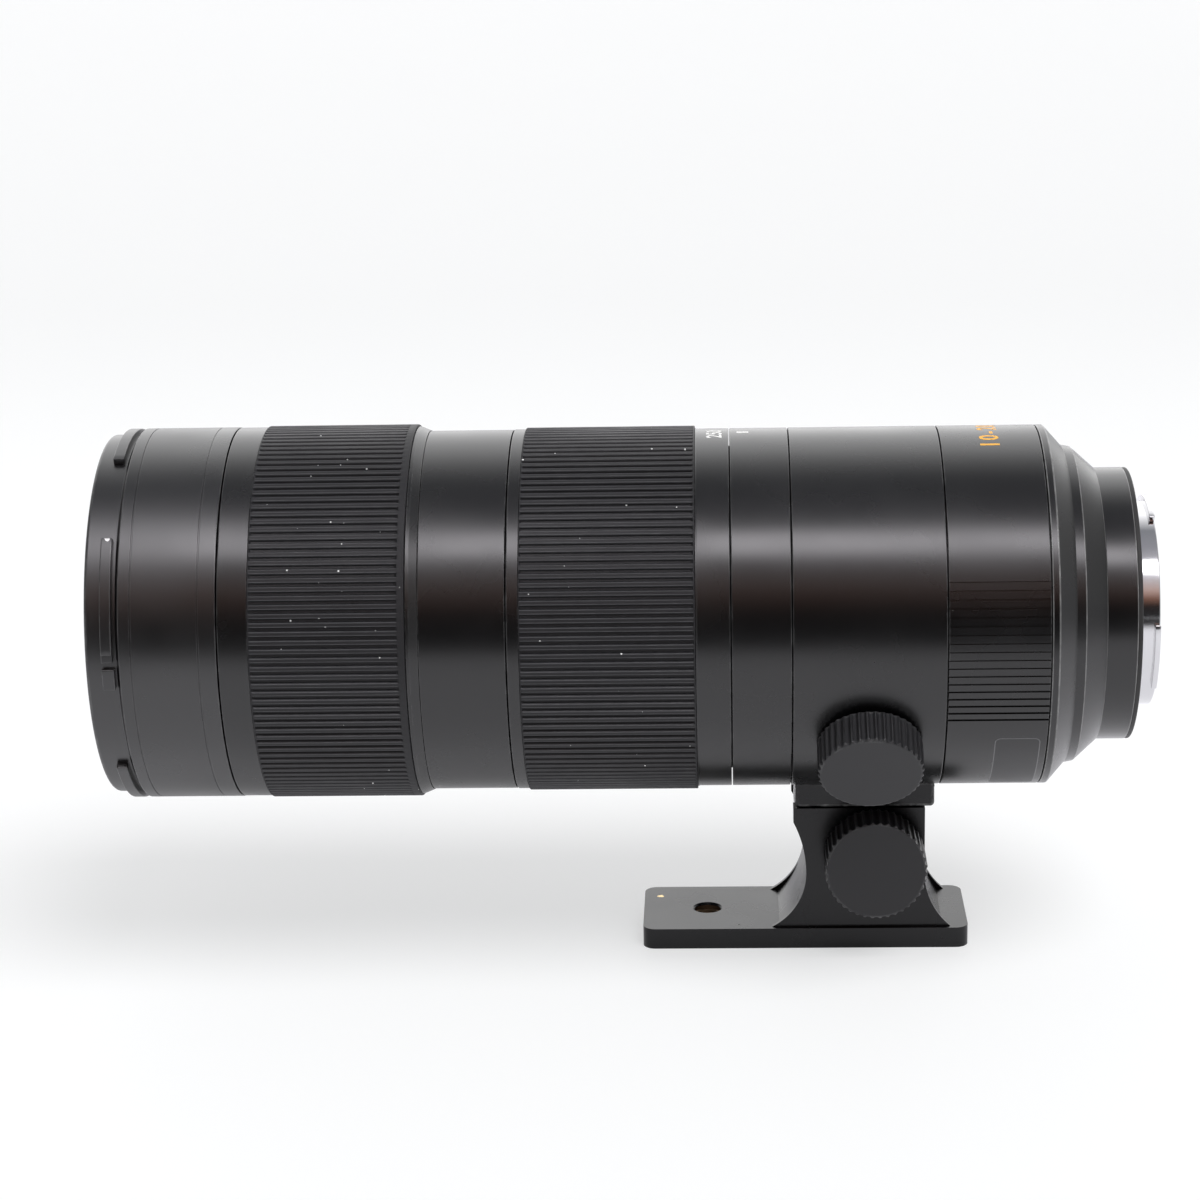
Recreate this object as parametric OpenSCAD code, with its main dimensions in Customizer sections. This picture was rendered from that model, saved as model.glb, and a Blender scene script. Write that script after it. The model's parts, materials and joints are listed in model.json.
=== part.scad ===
// Camera zoom lens with a tripod collar, in millimetres.
// The optical axis is X. The front points to -X, the bayonet flange is the plane x = 0, and +Z is up.
// Angles around the axis are turned about X from straight down (-Z), towards +Y.

/* [Lengths along the axis, from the flange to the front] */
// Dark seal around the bayonet flange
seal_len = 1; // [0.6:0.1:2]
// Straight tube behind the cones
tail_len = 7; // [5:0.5:12]
// Rear cone
rear_cone_len = 5.3; // [4:0.1:10]
// Step between the two cones
cone_step_len = 2.2; // [1:0.1:5]
// Front cone
front_cone_len = 4.2; // [3:0.1:8]
// Straight band in front of the cones
cone_band_len = 1.8; // [1:0.1:5]
// Rear barrel with the finger panel
rear_barrel_len = 23; // [20:0.5:34]
// Tripod collar
collar_len = 34.7; // [32:0.1:45]
// Index ring
index_len = 13.7; // [8:0.1:20]
// Scale band of the zoom ring
scale_len = 8; // [5:0.5:14]
// Rubber grip of the zoom ring
zoom_grip_len = 39.6; // [34:0.1:55]
// Plain front band of the zoom ring
zoom_band_len = 2.9; // [2:0.1:6]
// Middle barrel
middle_len = 19.9; // [14:0.1:30]
// Plain rear band of the focus ring, with its chamfer
focus_tail_len = 3.4; // [2.5:0.1:6]
// Rubber grip of the focus ring
focus_grip_len = 34.6; // [26:0.1:50]
// Plain front band of the focus ring
focus_band_len = 7; // [5:0.5:12]
// Front barrel
front_len = 29.7; // [27:0.1:45]

/* [Radii] */
// Rear barrel, collar and index ring
barrel_r = 42.15; // [40:0.05:48]
// Rise of the middle barrel over the rear barrel
middle_rise = 0.25; // [0.1:0.05:1]
// Rise of the zoom grip over the rear barrel
zoom_rise = 0.7; // [0.4:0.05:1.6]
// Rise of the focus grip over the rear barrel
focus_rise = 1.85; // [1:0.05:3]
// Rise of the front barrel over the rear barrel
front_rise = 1.65; // [1:0.05:3]
// Drop from the rear barrel to the step between the two cones
cone_drop = 4.75; // [3.5:0.05:6.5]

/* [Walls and fits] */
// Height from the guide tube up to the outside of the rear barrel
shell_depth = 4.15; // [3.8:0.05:6]
// Wall of the guide tube
guide_wall = 2; // [1.5:0.1:3]
// Wall of the cam tube
cam_wall = 1.6; // [1.2:0.1:2.5]
// Skin of a hollow ring
skin = 1.8; // [1.2:0.1:2.2]
// Width of a land that runs or sits on the guide tube
land_len = 4; // [2.5:0.5:5]
// Radial clearance of a turning or sliding fit
run_gap = 0.06; // [0.02:0.01:0.1]
// Clearance of two pieces that are fixed to each other
seat_gap = 0.02; // [0.01:0.01:0.05]
// Clearance between pieces that move past each other
free_gap = 0.3; // [0.2:0.05:0.6]
// Width of the dark joints between the barrel sections
joint_w = 0.5; // [0.3:0.05:0.8]

/* [Grips] */
// Thickness of the rubber
grip_depth = 1.5; // [1:0.1:1.8]
// Height of a rib
rib_h = 0.55; // [0.3:0.05:0.8]
// Share of the pitch that a rib's top takes
rib_share = 0.42; // [0.3:0.01:0.6]
// Ribs around the focus grip
focus_ribs = 137; // [90:1:160]
// Ribs around the zoom grip
zoom_ribs = 133; // [90:1:160]

/* [Front] */
// Wall of the rim around the filter thread
filter_wall = 3.2; // [2.5:0.1:4]
// Depth of the filter thread
filter_depth = 5.5; // [4:0.1:8]
// Width of a raised hood rib
hood_rib_w = 2.6; // [1.5:0.1:4]
// Depth of the low rim that the hood ribs stand on
hood_step = 1.4; // [0.8:0.1:1.8]
// Height of a raised hood rib
hood_rib_h = 1.4; // [0.8:0.1:2]
// Distance of the hood ribs from the front rim
hood_rib_x = 3.4; // [2:0.1:8]
// Angle that one hood rib covers
hood_rib_arc = 46; // [30:1:60]
// Chamfer of the front rim
rim_chamfer = 0.8; // [0.3:0.1:1.5]
// Ledge that holds the front glass
glass_ledge = 3; // [2:0.1:5]
// Edge thickness of the front glass
front_glass_edge = 4; // [3:0.1:6]
// Bulge of the front glass
front_glass_bulge = 2.6; // [2:0.1:4]
// Bulge of the second glass towards the first
second_glass_bulge = 1.6; // [1.5:0.1:1.9]

/* [Zoom drive] */
// Turn of the zoom ring
zoom_turn = 75; // [50:1:90]
// Travel of the variator, towards the front
variator_travel = 26; // [18:1:28]
// Travel of the compensator, towards the rear
compensator_travel = 14; // [8:1:15]
// Radius of a cam roller
roller_r = 1.8; // [1.2:0.1:2.2]
// Radius of the key between the zoom ring and the cam tube
key_r = 2; // [1.5:0.1:2.5]
// Length of a lens cell in the cam tube
cell_len = 10; // [8:0.5:12]
// Wall of a lens cell around its glass
cell_wall = 10; // [8:0.5:16]
// Edge thickness of the inner lenses
inner_glass_edge = 5; // [3:0.5:7]
// Hollow or bulge of the inner lenses
inner_glass_bulge = 1.6; // [0.8:0.1:1.8]

/* [Iris] */
// Wall of the iris housing
iris_wall = 1.2; // [0.8:0.1:2]
// Width of a blade
blade_w = 5.7; // [4:0.1:6]
// Thickness of a blade
blade_t = 0.2; // [0.1:0.05:0.25]
// Angle that a blade covers
blade_arc = 80; // [60:1:90]
// Turn of the iris drive ring
iris_turn = 30; // [20:1:32]
// Radius of a blade's pivot pin
blade_pin_r = 0.6; // [0.4:0.05:0.8]
// Thickness of the iris plates
iris_plate = 1.5; // [1:0.1:2]

/* [Focus drive] */
// Travel of the focus cell each way
focus_travel = 8; // [4:0.5:9]
// Radius of the focus lens
focus_glass_r = 18; // [14:0.5:19]
// Length of the focus cell
focus_cell_len = 9; // [7:0.5:11]
// Radius of the guide rods and of the lead screw
rod_r = 1.5; // [1:0.1:2]
// Distance of the rods from the inside of the guide tube
rod_inset = 9; // [8:0.5:10]
// Radius of the focus motor
motor_r = 5; // [4:0.1:6]
// Length of the focus motor
motor_len = 7; // [5:0.5:8]

/* [Rear optics and mount] */
// Radius of the rear glass
rear_glass_r = 19; // [16:0.5:19.5]
// Wall of the rear lens tube
rear_tube_wall = 2.2; // [1.5:0.1:3]
// Outside radius of the bayonet spigot
spigot_r = 24; // [23.5:0.1:25]
// Wall of the bayonet spigot
spigot_wall = 1.6; // [1.2:0.1:2]
// Height of the bayonet spigot over the flange
spigot_len = 4.9; // [4:0.1:7]
// Rise of a bayonet lug over the spigot
lug_rise = 1.4; // [0.8:0.1:2]
// Thickness of a bayonet lug
lug_t = 1.3; // [1:0.1:2]
// Thickness of the bayonet flange
flange_t = 2.4; // [2:0.1:3]
// Width of the bayonet flange around the spigot
flange_w = 6.5; // [5.5:0.1:8]
// Wall of the tail tube around the flange
tail_wall = 1.4; // [1:0.1:2]
// Distance of the mount screws from the edge of the flange
mount_screw_inset = 3.1; // [2.6:0.1:3.6]
// Radius of a mount screw's shank
mount_screw_r = 1; // [0.8:0.1:1.2]
// Contact pins in the block
contact_count = 9; // [6:1:12]

/* [Collar and foot] */
// Angle of the collar knob below the level of the axis
collar_knob_drop = 32; // [20:1:45]
// Distance of both knobs behind the front edge of the collar
knob_back = 17.5; // [14:0.1:20]
// Diameter of both knobs
knob_d = 24; // [18:0.5:28]
// Length of the collar knob
collar_knob_len = 8.7; // [7:0.1:12]
// Length of the foot knob
foot_knob_len = 10; // [8:0.1:14]
// Flutes around a knob
knob_flutes = 40; // [24:1:48]
// Radius of the knob screws
knob_screw_r = 2.5; // [2:0.1:3]
// Radius of the collar brake pad
pad_r = 3.7; // [3:0.1:5]
// Travel of the collar brake pad
pad_travel = 0.3; // [0.1:0.05:0.4]
// Level of the joint between lug and foot, below the axis
lug_drop = 45.9; // [45:0.1:50]
// Width of the lug and of the foot neck
neck_w = 25.7; // [24:0.1:32]
// Height of the dovetail
dovetail_h = 5; // [4:0.1:5.5]
// Width of the dovetail at its root
dovetail_w = 16; // [12:0.5:17]
// Widening of the dovetail on each side
dovetail_flare = 2; // [1:0.1:2.5]
// Level of the foot knob's axis, below the joint between lug and foot
foot_knob_fall = 11.7; // [10.5:0.1:16]
// Level of the top of the foot plate, below the axis
plate_drop = 76.1; // [74:0.1:90]
// Thickness of the foot plate
plate_t = 5; // [4:0.1:8]
// Width of the foot plate
plate_w = 28; // [26:0.1:40]
// Length of the foot plate in front of the collar's front edge
plate_front = 35.4; // [30:0.1:50]
// Length of the foot plate behind the collar's front edge
plate_rear = 42.2; // [39:0.1:60]
// Corner radius of the foot plate
plate_corner = 3; // [1:0.5:6]
// Radius of the tripod thread
tripod_r = 3.175; // [3.175, 4.7625]
// Distance of the tripod thread from the front end of the plate
tripod_inset = 15.4; // [10:0.1:20]
// Bevel of the tripod thread's mouths
tripod_bevel = 0.4; // [0.2:0.1:0.6]

/* [Hidden] */
$fn = 96;
fine_fn = 720;
arc_fn = 1440;
big = 400;
bite = 0.5;
over = 1;
half_joint = joint_w / 2;

// Stations along the axis
x_tail_end = -seal_len;
x_tail = x_tail_end - tail_len;
x_cone_step_rear = x_tail - rear_cone_len;
x_cone_step = x_cone_step_rear - cone_step_len;
x_cone_band = x_cone_step - front_cone_len;
x_rear_barrel_end = x_cone_band - cone_band_len;
x_rear_barrel = x_rear_barrel_end - rear_barrel_len;
x_collar = x_rear_barrel - collar_len;
x_index = x_collar - index_len;
x_zoom_grip_end = x_index - scale_len;
x_zoom_grip = x_zoom_grip_end - zoom_grip_len;
x_zoom = x_zoom_grip - zoom_band_len;
x_middle = x_zoom - middle_len;
x_focus_grip_end = x_middle - focus_tail_len;
x_focus_grip = x_focus_grip_end - focus_grip_len;
x_focus = x_focus_grip - focus_band_len;
x_front = x_focus - front_len;

// Radii of the sections
middle_r = barrel_r + middle_rise;
zoom_r = barrel_r + zoom_rise;
focus_r = barrel_r + focus_rise;
front_r = barrel_r + front_rise;
focus_band_drop = 0.3;
focus_band_r = focus_r - focus_band_drop;
zoom_band_r = barrel_r + zoom_rise / 2;
grip_edge = 0.4;
cone_step_r = barrel_r - cone_drop;
filter_r = front_r - filter_wall;
rim_r = front_r - hood_step;

// Inner tubes
guide_r = barrel_r - shell_depth;
guide_in_r = guide_r - guide_wall;
guide_seat_r = guide_r + seat_gap;
guide_run_r = guide_r + run_gap;
inner_seat_r = guide_in_r - seat_gap;
cam_r = guide_in_r - run_gap;
cam_in_r = cam_r - cam_wall;
cell_r = cam_in_r - free_gap;
inner_glass_r = cell_r - cell_wall;

// Front group
guide_overlap = 6;
x_guide = x_focus - guide_overlap;
filter_step = 0.6;
front_bore_r = filter_r - filter_step;
front_seat_r = front_bore_r - seat_gap;
x_filter_end = x_front + filter_depth;
retaining_len = 3;
retaining_lip = 1;
x_front_cell = x_filter_end + retaining_len + seat_gap;
x_front_cell_end = x_guide - seat_gap;
front_glass_r = front_seat_r - glass_ledge;
front_lip = 2;
x_front_lip = (x_front_cell + x_front_cell_end) / 2;
hood_rib_start = [50, 154, 231.5, 309];
hood_land = 1.1;
hood_slope = 0.9;
hood_line_gap = 2;
x_rim_end = x_front + hood_rib_x + hood_rib_w + hood_land;
x_hood_slope = x_rim_end + hood_slope;
x_hood_line = x_hood_slope + hood_line_gap;
front_line_x = 4.3;
line_w = 0.3;
line_d = 0.15;
sensor_len = 10;
sensor_w = 12;

// Zoom drive: the key sits between the two cells, which move apart
x_key = x_zoom + land_len + key_r;
key_angle = 200;
key_slot_room = key_r + run_gap;
key_slot_spare = asin((key_r + free_gap) / guide_in_r);
cell_half = cell_len / 2;
key_room = 5;
key_rise = 1.8;
x_variator = x_key - key_r - cell_half - key_room;
x_compensator = x_key + key_r + cell_half + key_room;
roller_short = 0.4;
roller_sink = 2.5;
roller_out_r = guide_r - roller_short;
roller_in_r = cell_r - roller_sink;
roller_count = 3;
variator_angle = 0;
compensator_angle = 60;
cam_slot_end = roller_r + free_gap;
cam_slot_w = 2 * (roller_r + free_gap);
cam_margin = 4;
x_cam = x_variator - variator_travel - cell_half - cam_margin;
x_cam_end = x_compensator + compensator_travel + cell_half + cam_margin;
glass_lip = 1.5;

// Iris
iris_blades = 7;
blade_pitch = blade_t + free_gap;
iris_wall_r = inner_seat_r - iris_wall;
pivot_inset = 3;
pivot_r = iris_wall_r - pivot_inset;
pivot_room = 1.6;
iris_open_r = pivot_r - pivot_room - blade_w;
pin_lever = 4;
pin_angle = 2 * asin(pin_lever / 2 / pivot_r);
blade_tab = 0.9;
iris_back = 2;
x_iris = x_cam_end + iris_back;
x_blades = x_iris + iris_plate + free_gap;
x_drive = x_blades + iris_blades * blade_pitch + free_gap;
x_iris_cover = x_drive + iris_plate + free_gap;
x_iris_end = x_iris_cover + iris_plate;
drive_r = iris_wall_r - run_gap;
drive_lap = 2.8;
drive_in_r = iris_open_r + drive_lap;
drive_room_in = 2.8;
drive_room_out = 1.2;
drive_slot_in = pivot_r - drive_room_in;
drive_slot_out = pivot_r + drive_room_out;
drive_slot_spare = 2.6;

// Rear group
guide_reach = 10;
x_guide_end = x_rear_barrel + guide_reach;
rear_flange_t = 2;
rear_flange_rise = 1.5;
rear_flange_r = guide_r + rear_flange_rise;
rear_cell_depth = 9;
x_rear_cell = x_guide_end - rear_cell_depth;
rear_tube_short = 3;
x_rear_tube_end = x_tail - rear_tube_short;
rear_glass_edge = 5;
rear_glass_sink = 1;
rear_glass_bulge = 0.8;
x_rear_glass = x_rear_tube_end - rear_glass_edge - rear_glass_sink;
rear_tube_r = rear_glass_r + rear_tube_wall;
board_t = 1.6;
x_board = x_guide_end + rear_flange_t + seat_gap;
board_gap = 2;
board_in_r = rear_tube_r + board_gap;
board_r = guide_r;

// Focus drive, between the iris and the rear cell
rod_socket = 3;
x_rods = x_iris_end + seat_gap;
x_rods_end = x_rear_cell + rod_socket;
screw_socket = 2;
journal_step = 0.4;
journal_r = rod_r - journal_step;
thread_spare = 1.5;
rod_circle_r = inner_seat_r - rod_inset;
x_screw = x_rods + motor_len + seat_gap;
x_focus_cell = (x_screw + x_rear_cell) / 2 - focus_cell_len / 2;
focus_cell_wall = 4;
focus_cell_r = focus_glass_r + focus_cell_wall;
ear_wall = 2.5;
ear_root = 1.5;
ear_r = rod_circle_r + rod_r + ear_wall;
ear_w = 8;
rod_angles = [90, 270];
screw_angle = 180;

// Rear shells
sleeve_depth = 2.65;
sleeve_r = barrel_r - sleeve_depth;
x_sleeve = x_collar + half_joint;
shell_in_r = barrel_r - skin;
spigot_fit_len = 4;
cone_spigot_r = shell_in_r - seat_gap;
cone_skin = 2;
cone_step_fall = 0.4;
tail_edge = 0.3;
panel_lines = 18;
panel_pitch = 2.63;
panel_line_w = 0.5;
panel_line_d = 0.35;
panel_angles = [90, 270];

// Mount
flange_r = spigot_r + flange_w;
tail_in_r = flange_r + seat_gap;
tail_r = tail_in_r + tail_wall;
mount_screw_circle_r = flange_r - mount_screw_inset;
mount_screw_start = 45;
x_flange = -flange_t;
x_wall = x_flange - seat_gap;
wall_t = 3;
spigot_in_r = spigot_r - spigot_wall;
throat_gap = 0.6;
throat_r = spigot_r + throat_gap;
lug_arcs = [[266, 40], [145, 58], [25, 50]];
mount_screw_count = 4;
screw_head_t = 1.4;
screw_head_rise = 0.7;
screw_head_r = mount_screw_r + screw_head_rise;
screw_sink = 0.1;
baffle_t = 1.5;
baffle_r = spigot_in_r - seat_gap;
baffle_sink = 0.2;
x_baffle = x_flange + baffle_sink;
baffle_side = 7.4;
baffle_end = 9.4;
window_y = baffle_r - baffle_side;
window_z = baffle_r - baffle_end;
contact_arc = 84;
contact_block_r = baffle_r;
contact_depth = 3.4;
contact_block_in_r = contact_block_r - contact_depth;
x_contact = x_baffle + baffle_t + seat_gap;
contact_len = 4;
contact_pin_r = 0.6;
contact_pin_out = 0.7;
contact_sink = 1.5;

// Collar and its knob
x_collar_end = x_rear_barrel;
collar_wall = 2.15;
collar_in_r = barrel_r - collar_wall;
liner_len = 4;
liner_r = sleeve_r + run_gap;
x_knob = x_collar + knob_back;
knob_r = knob_d / 2;
collar_knob_tilt = 90 + collar_knob_drop;
knob_lift = 0.4;
collar_knob_base = barrel_r + knob_lift;
pad_face = sleeve_r + run_gap;
pad_t = 0.75;
pad_pocket = 1.2;
pad_pocket_end = collar_in_r + pad_pocket;
screw_tip = pad_face + pad_t + pad_travel + run_gap;
knob_screw_sink = 6;
knob_chamfer = 1;
flute_r = 0.75;
flute_out = 0.3;

// Foot
lug_front = 1.1;
lug_rear = 0.8;
lug_x0 = x_collar + lug_front;
lug_x1 = x_collar_end - lug_rear;
neck_front = 0.65;
neck_rear = 3;
neck_x0 = x_collar + neck_front;
neck_x1 = x_collar_end - neck_rear;
dovetail_short = 0.8;
dovetail_x1 = neck_x1 - dovetail_short;
neck_top = -lug_drop - free_gap;
neck_bottom = -plate_drop + seat_gap;
waist_fall = 1.5;
neck_waist_z = -(lug_drop + plate_drop) / 2 - waist_fall;
neck_waist = 3;
neck_flare = 8.2;
heel_flare = 6.2;
neck_rim = 1.1;
neck_recess = 2;
recess_start = 0.2;
neck_brow = 3.5;
waist_up = neck_top - neck_brow - neck_waist_z;
waist_down = neck_waist_z - neck_bottom;
waist_up_r = cap_r(waist_up, neck_waist);
waist_down_r = cap_r(waist_down, neck_flare);
heel_r = cap_r(waist_down, heel_flare);
toe_recess_r = cap_r(waist_down, neck_flare - neck_recess);
heel_recess_r = cap_r(waist_down, heel_flare - neck_recess);
slit_w = 1;
slit_y = -dovetail_w / 2;
slit_floor = 2;
foot_knob_z = -lug_drop - foot_knob_fall;
foot_knob_shift = 2.2;
slit_z = foot_knob_z - knob_screw_r - slit_floor;
foot_knob_gap = 1.8;
foot_knob_base = neck_w / 2 + foot_knob_gap;
foot_screw_in = 4;
plate_x0 = x_collar - plate_front;
plate_x1 = x_collar + plate_rear;
plate_bottom = -plate_drop - plate_t;
tripod_x = plate_x0 + tripod_inset;
plate_screw_r = 2;
plate_screw_head_r = 3.6;
plate_screw_head_t = 2;
plate_screw_len = 8;
plate_screw_sink = 0.2;
plate_screw_front = 8;
plate_screw_rear = 6;
plate_screw_xs = [neck_x0 + plate_screw_front, neck_x1 - plate_screw_rear];

// Points of a ring of ribs: root, top, top, root for each rib
function rib_ring(count, top, root) = [
    for (i = [0 : count - 1], k = [0 : 3])
        let (flank = (1 - rib_share) / 3)
        let (share = [0, flank, flank + rib_share, 2 * flank + rib_share][k])
        let (r = k == 0 || k == 3 ? root : top)
        let (a = 360 * (i + share) / count)
        [r * cos(a), r * sin(a)]
];

// Angle of roller number k of a cell
function roller_angle(start, k) = start + k * 360 / roller_count;

// Radius of the ball whose cap of height s has the rim radius r
function cap_r(r, s) = (r * r + s * s) / (2 * s);

// Height over its rim that a bulging glass of rim radius r has at the edge of its cell's lip
function lip_rise(r, s, lip = glass_lip) = sqrt(pow(cap_r(r, s), 2) - pow(r - lip, 2)) - cap_r(r, s) + s;

// Turns the Z axis of a shape onto the optical axis
module on_axis() {
    rotate([0, 90, 0]) children();
}

// Turned shape from points of [radius, x]
module turned(points) {
    on_axis() rotate_extrude() polygon(points);
}

// Plain ring between two stations
module ring(x0, x1, r_out, r_in) {
    turned([[r_in, x0], [r_out, x0], [r_out, x1], [r_in, x1]]);
}

// Part of a ring, from a start angle over an arc
module ring_arc(x0, x1, r_out, r_in, start, arc) {
    on_axis() rotate([0, 0, start]) rotate_extrude(angle = arc)
        polygon([[r_in, x0], [r_out, x0], [r_out, x1], [r_in, x1]]);
}

// Round bar parallel to the axis
module bar(x0, x1, circle_r, angle, r) {
    on_axis() rotate([0, 0, angle]) translate([circle_r, 0, x0]) cylinder(h = x1 - x0, r = r);
}

// Round bar in the place of mount screw number k
module mount_screw_bar(k, x0, x1, r) {
    bar(x0, x1, mount_screw_circle_r, mount_screw_start + k * 360 / mount_screw_count, r);
}

// Round bar that points away from the axis
module spoke(x, r0, r1, angle, r) {
    on_axis() rotate([0, 0, angle]) translate([r0, 0, x]) rotate([0, 90, 0]) cylinder(h = r1 - r0, r = r);
}

// Disc in the half plane of a turned shape, for the curve of a glass face whose rim has radius r
module glass_curve(r, sag, z) {
    translate([0, z]) circle(cap_r(r, sag), $fn = arc_fn);
}

// Glass with a bulging front face and a flat rear face; its edge starts at x
module domed_glass(x, r, edge, front) {
    translate([x, 0, 0]) on_axis() rotate_extrude() intersection() {
        translate([0, -front]) square([r, edge + front]);
        glass_curve(r, front, cap_r(r, front) - front);
    }
}

// Glass with two bulging faces
module bulging_glass(x, r, edge, front, rear) {
    translate([x, 0, 0]) on_axis() rotate_extrude() intersection() {
        translate([0, -front]) square([r, edge + front + rear]);
        glass_curve(r, front, cap_r(r, front) - front);
        glass_curve(r, rear, edge + rear - cap_r(r, rear));
    }
}

// Glass with two hollow faces
module hollow_glass(x, r, edge, front, rear) {
    translate([x, 0, 0]) on_axis() rotate_extrude() difference() {
        square([r, edge]);
        glass_curve(r, front, front - cap_r(r, front));
        glass_curve(r, rear, edge - rear + cap_r(r, rear));
    }
}

// Hollow ring with a land at each end
module shell_ring(x0, x1, r_out, relief_r, land_r) {
    turned([
        [land_r, x0], [r_out, x0], [r_out, x1], [land_r, x1],
        [land_r, x1 - land_len], [relief_r, x1 - land_len], [relief_r, x0 + land_len], [land_r, x0 + land_len]
    ]);
}

// Ribbed rubber band
module grip_band(x0, x1, r_top, r_in, count) {
    on_axis() translate([0, 0, x0]) difference() {
        linear_extrude(height = x1 - x0) polygon(rib_ring(count, r_top, r_top - rib_h));
        translate([0, 0, -over]) cylinder(h = x1 - x0 + 2 * over, r = r_in, $fn = fine_fn);
    }
}

// Lens cell that slides in the cam tube, with the holes of its rollers
module zoom_cell(x, start) {
    difference() {
        turned([
            [inner_glass_r - glass_lip, x - cell_half], [cell_r, x - cell_half], [cell_r, x + cell_half],
            [inner_glass_r + seat_gap, x + cell_half], [inner_glass_r + seat_gap, x - inner_glass_edge / 2],
            [inner_glass_r - glass_lip, x - inner_glass_edge / 2]
        ]);
        for (k = [0 : roller_count - 1])
            spoke(x, roller_in_r, cell_r + over, roller_angle(start, k), roller_r + seat_gap);
    }
}

// Rollers of one cell
module rollers(x, start) {
    for (k = [0 : roller_count - 1])
        spoke(x, roller_in_r + seat_gap, roller_out_r, roller_angle(start, k), roller_r);
}

// Helical slot of the cam tube for a roller that goes from x by travel while the ring makes its turn
module cam_slot(x, travel, start) {
    rate = zoom_turn / travel;
    slope = atan(abs(travel) / (cam_r * zoom_turn * PI / 180));
    width = cam_slot_w / sin(slope);
    x0 = min(x, x + travel) - cam_slot_end;
    height = abs(travel) + 2 * cam_slot_end;
    on_axis() rotate([0, 0, start - rate * (x0 - x)]) translate([0, 0, x0])
        linear_extrude(height = height, twist = rate * height, slices = 24, segments = 4)
            translate([cam_in_r - over, -width / 2]) square([cam_wall + 2 * over, width]);
}

// Straight slot of the guide tube for a roller that goes from x0 to x1
module guide_slot(x0, x1, start) {
    half = roller_r + run_gap;
    on_axis() rotate([0, 0, start]) translate([guide_in_r - over, -half, x0 - half])
        cube([guide_wall + 2 * over, 2 * half, x1 - x0 + 2 * half]);
}

// Fluted knob that stands on z = 0, with a blind hole for its screw
module knob(len) {
    difference() {
        rotate_extrude() polygon([
            [0, 0], [knob_r - knob_chamfer, 0], [knob_r, knob_chamfer],
            [knob_r, len - knob_chamfer], [knob_r - knob_chamfer, len], [0, len]
        ]);
        for (i = [0 : knob_flutes - 1])
            rotate([0, 0, i * 360 / knob_flutes]) translate([knob_r + flute_out, 0, -over])
                cylinder(h = len + 2 * over, r = flute_r, $fn = 24);
        translate([0, 0, -over]) cylinder(h = knob_screw_sink + over, r = knob_screw_r + seat_gap);
    }
}

// Frame of the collar knob: Z points out along the knob's axis
module at_collar_knob() {
    translate([x_knob, 0, 0]) rotate([collar_knob_tilt, 0, 0]) children();
}

// Frame of the foot knob: Z points to the near side
module at_foot_knob() {
    translate([x_knob + foot_knob_shift, 0, foot_knob_z]) rotate([90, 0, 0]) children();
}

module front_barrel() {
    color("#1c1c1e") difference() {
        union() {
            turned([
                [filter_r, x_front], [rim_r - rim_chamfer, x_front], [rim_r, x_front + rim_chamfer],
                [rim_r, x_rim_end], [front_r, x_hood_slope],
                [front_r, x_focus - half_joint], [guide_seat_r, x_focus - half_joint], [guide_seat_r, x_guide],
                [front_bore_r, x_guide], [front_bore_r, x_filter_end], [filter_r, x_filter_end]
            ]);
            for (start = hood_rib_start)
                ring_arc(x_front + hood_rib_x, x_front + hood_rib_x + hood_rib_w,
                    rim_r + hood_rib_h, rim_r - bite, start, hood_rib_arc);
        }
        ring(x_hood_line, x_hood_line + line_w, front_r + bite, front_r - line_d);
        ring(x_focus - front_line_x - line_w, x_focus - front_line_x, front_r + bite, front_r - line_d);
    }
}

module front_retaining_ring() {
    color("#151516") ring(x_filter_end, x_filter_end + retaining_len, front_seat_r,
        front_glass_r - retaining_lip);
}

module front_cell() {
    color("#2a2a2c") turned([
        [front_glass_r + seat_gap, x_front_cell], [front_seat_r, x_front_cell],
        [front_seat_r, x_front_cell_end],
        [front_glass_r + seat_gap, x_front_cell_end], [front_glass_r + seat_gap, x_front_lip + front_lip / 2],
        [front_glass_r - front_lip, x_front_lip + front_lip / 2],
        [front_glass_r - front_lip, x_front_lip - front_lip / 2],
        [front_glass_r + seat_gap, x_front_lip - front_lip / 2]
    ]);
}

module front_element_1() {
    color("#3a4a5a") domed_glass(x_front_lip - front_lip / 2 - seat_gap - front_glass_edge, front_glass_r,
        front_glass_edge, front_glass_bulge);
}

module front_element_2() {
    rise = lip_rise(front_glass_r, second_glass_bulge, front_lip);
    color("#3a4a5a") bulging_glass(x_front_lip + front_lip / 2 + seat_gap + rise, front_glass_r,
        front_glass_edge, second_glass_bulge, front_glass_bulge);
}

module guide_tube() {
    color("#3c3c40") difference() {
        ring(x_guide, x_guide_end, guide_r, guide_in_r);
        for (k = [0 : roller_count - 1]) {
            guide_slot(x_variator - variator_travel, x_variator, roller_angle(variator_angle, k));
            guide_slot(x_compensator, x_compensator + compensator_travel, roller_angle(compensator_angle, k));
        }
        ring_arc(x_key - key_slot_room, x_key + key_slot_room, guide_r + over, guide_in_r - over,
            key_angle - key_slot_spare, zoom_turn + 2 * key_slot_spare);
    }
}

module focus_ring() {
    x0 = x_focus + half_joint;
    x1 = x_middle - half_joint;
    floor_r = focus_r - grip_depth;
    relief_r = floor_r - skin;
    color("#1c1c1e") turned([
        [guide_run_r, x0], [focus_band_r - grip_edge, x0], [focus_band_r, x0 + grip_edge],
        [focus_band_r, x_focus_grip], [floor_r, x_focus_grip], [floor_r, x_focus_grip_end],
        [focus_band_r, x_focus_grip_end], [focus_band_r, x_focus_grip_end + grip_edge],
        [middle_r, x1], [guide_run_r, x1], [guide_run_r, x1 - land_len], [relief_r, x1 - land_len],
        [relief_r, x0 + land_len], [guide_run_r, x0 + land_len]
    ]);
}

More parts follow.
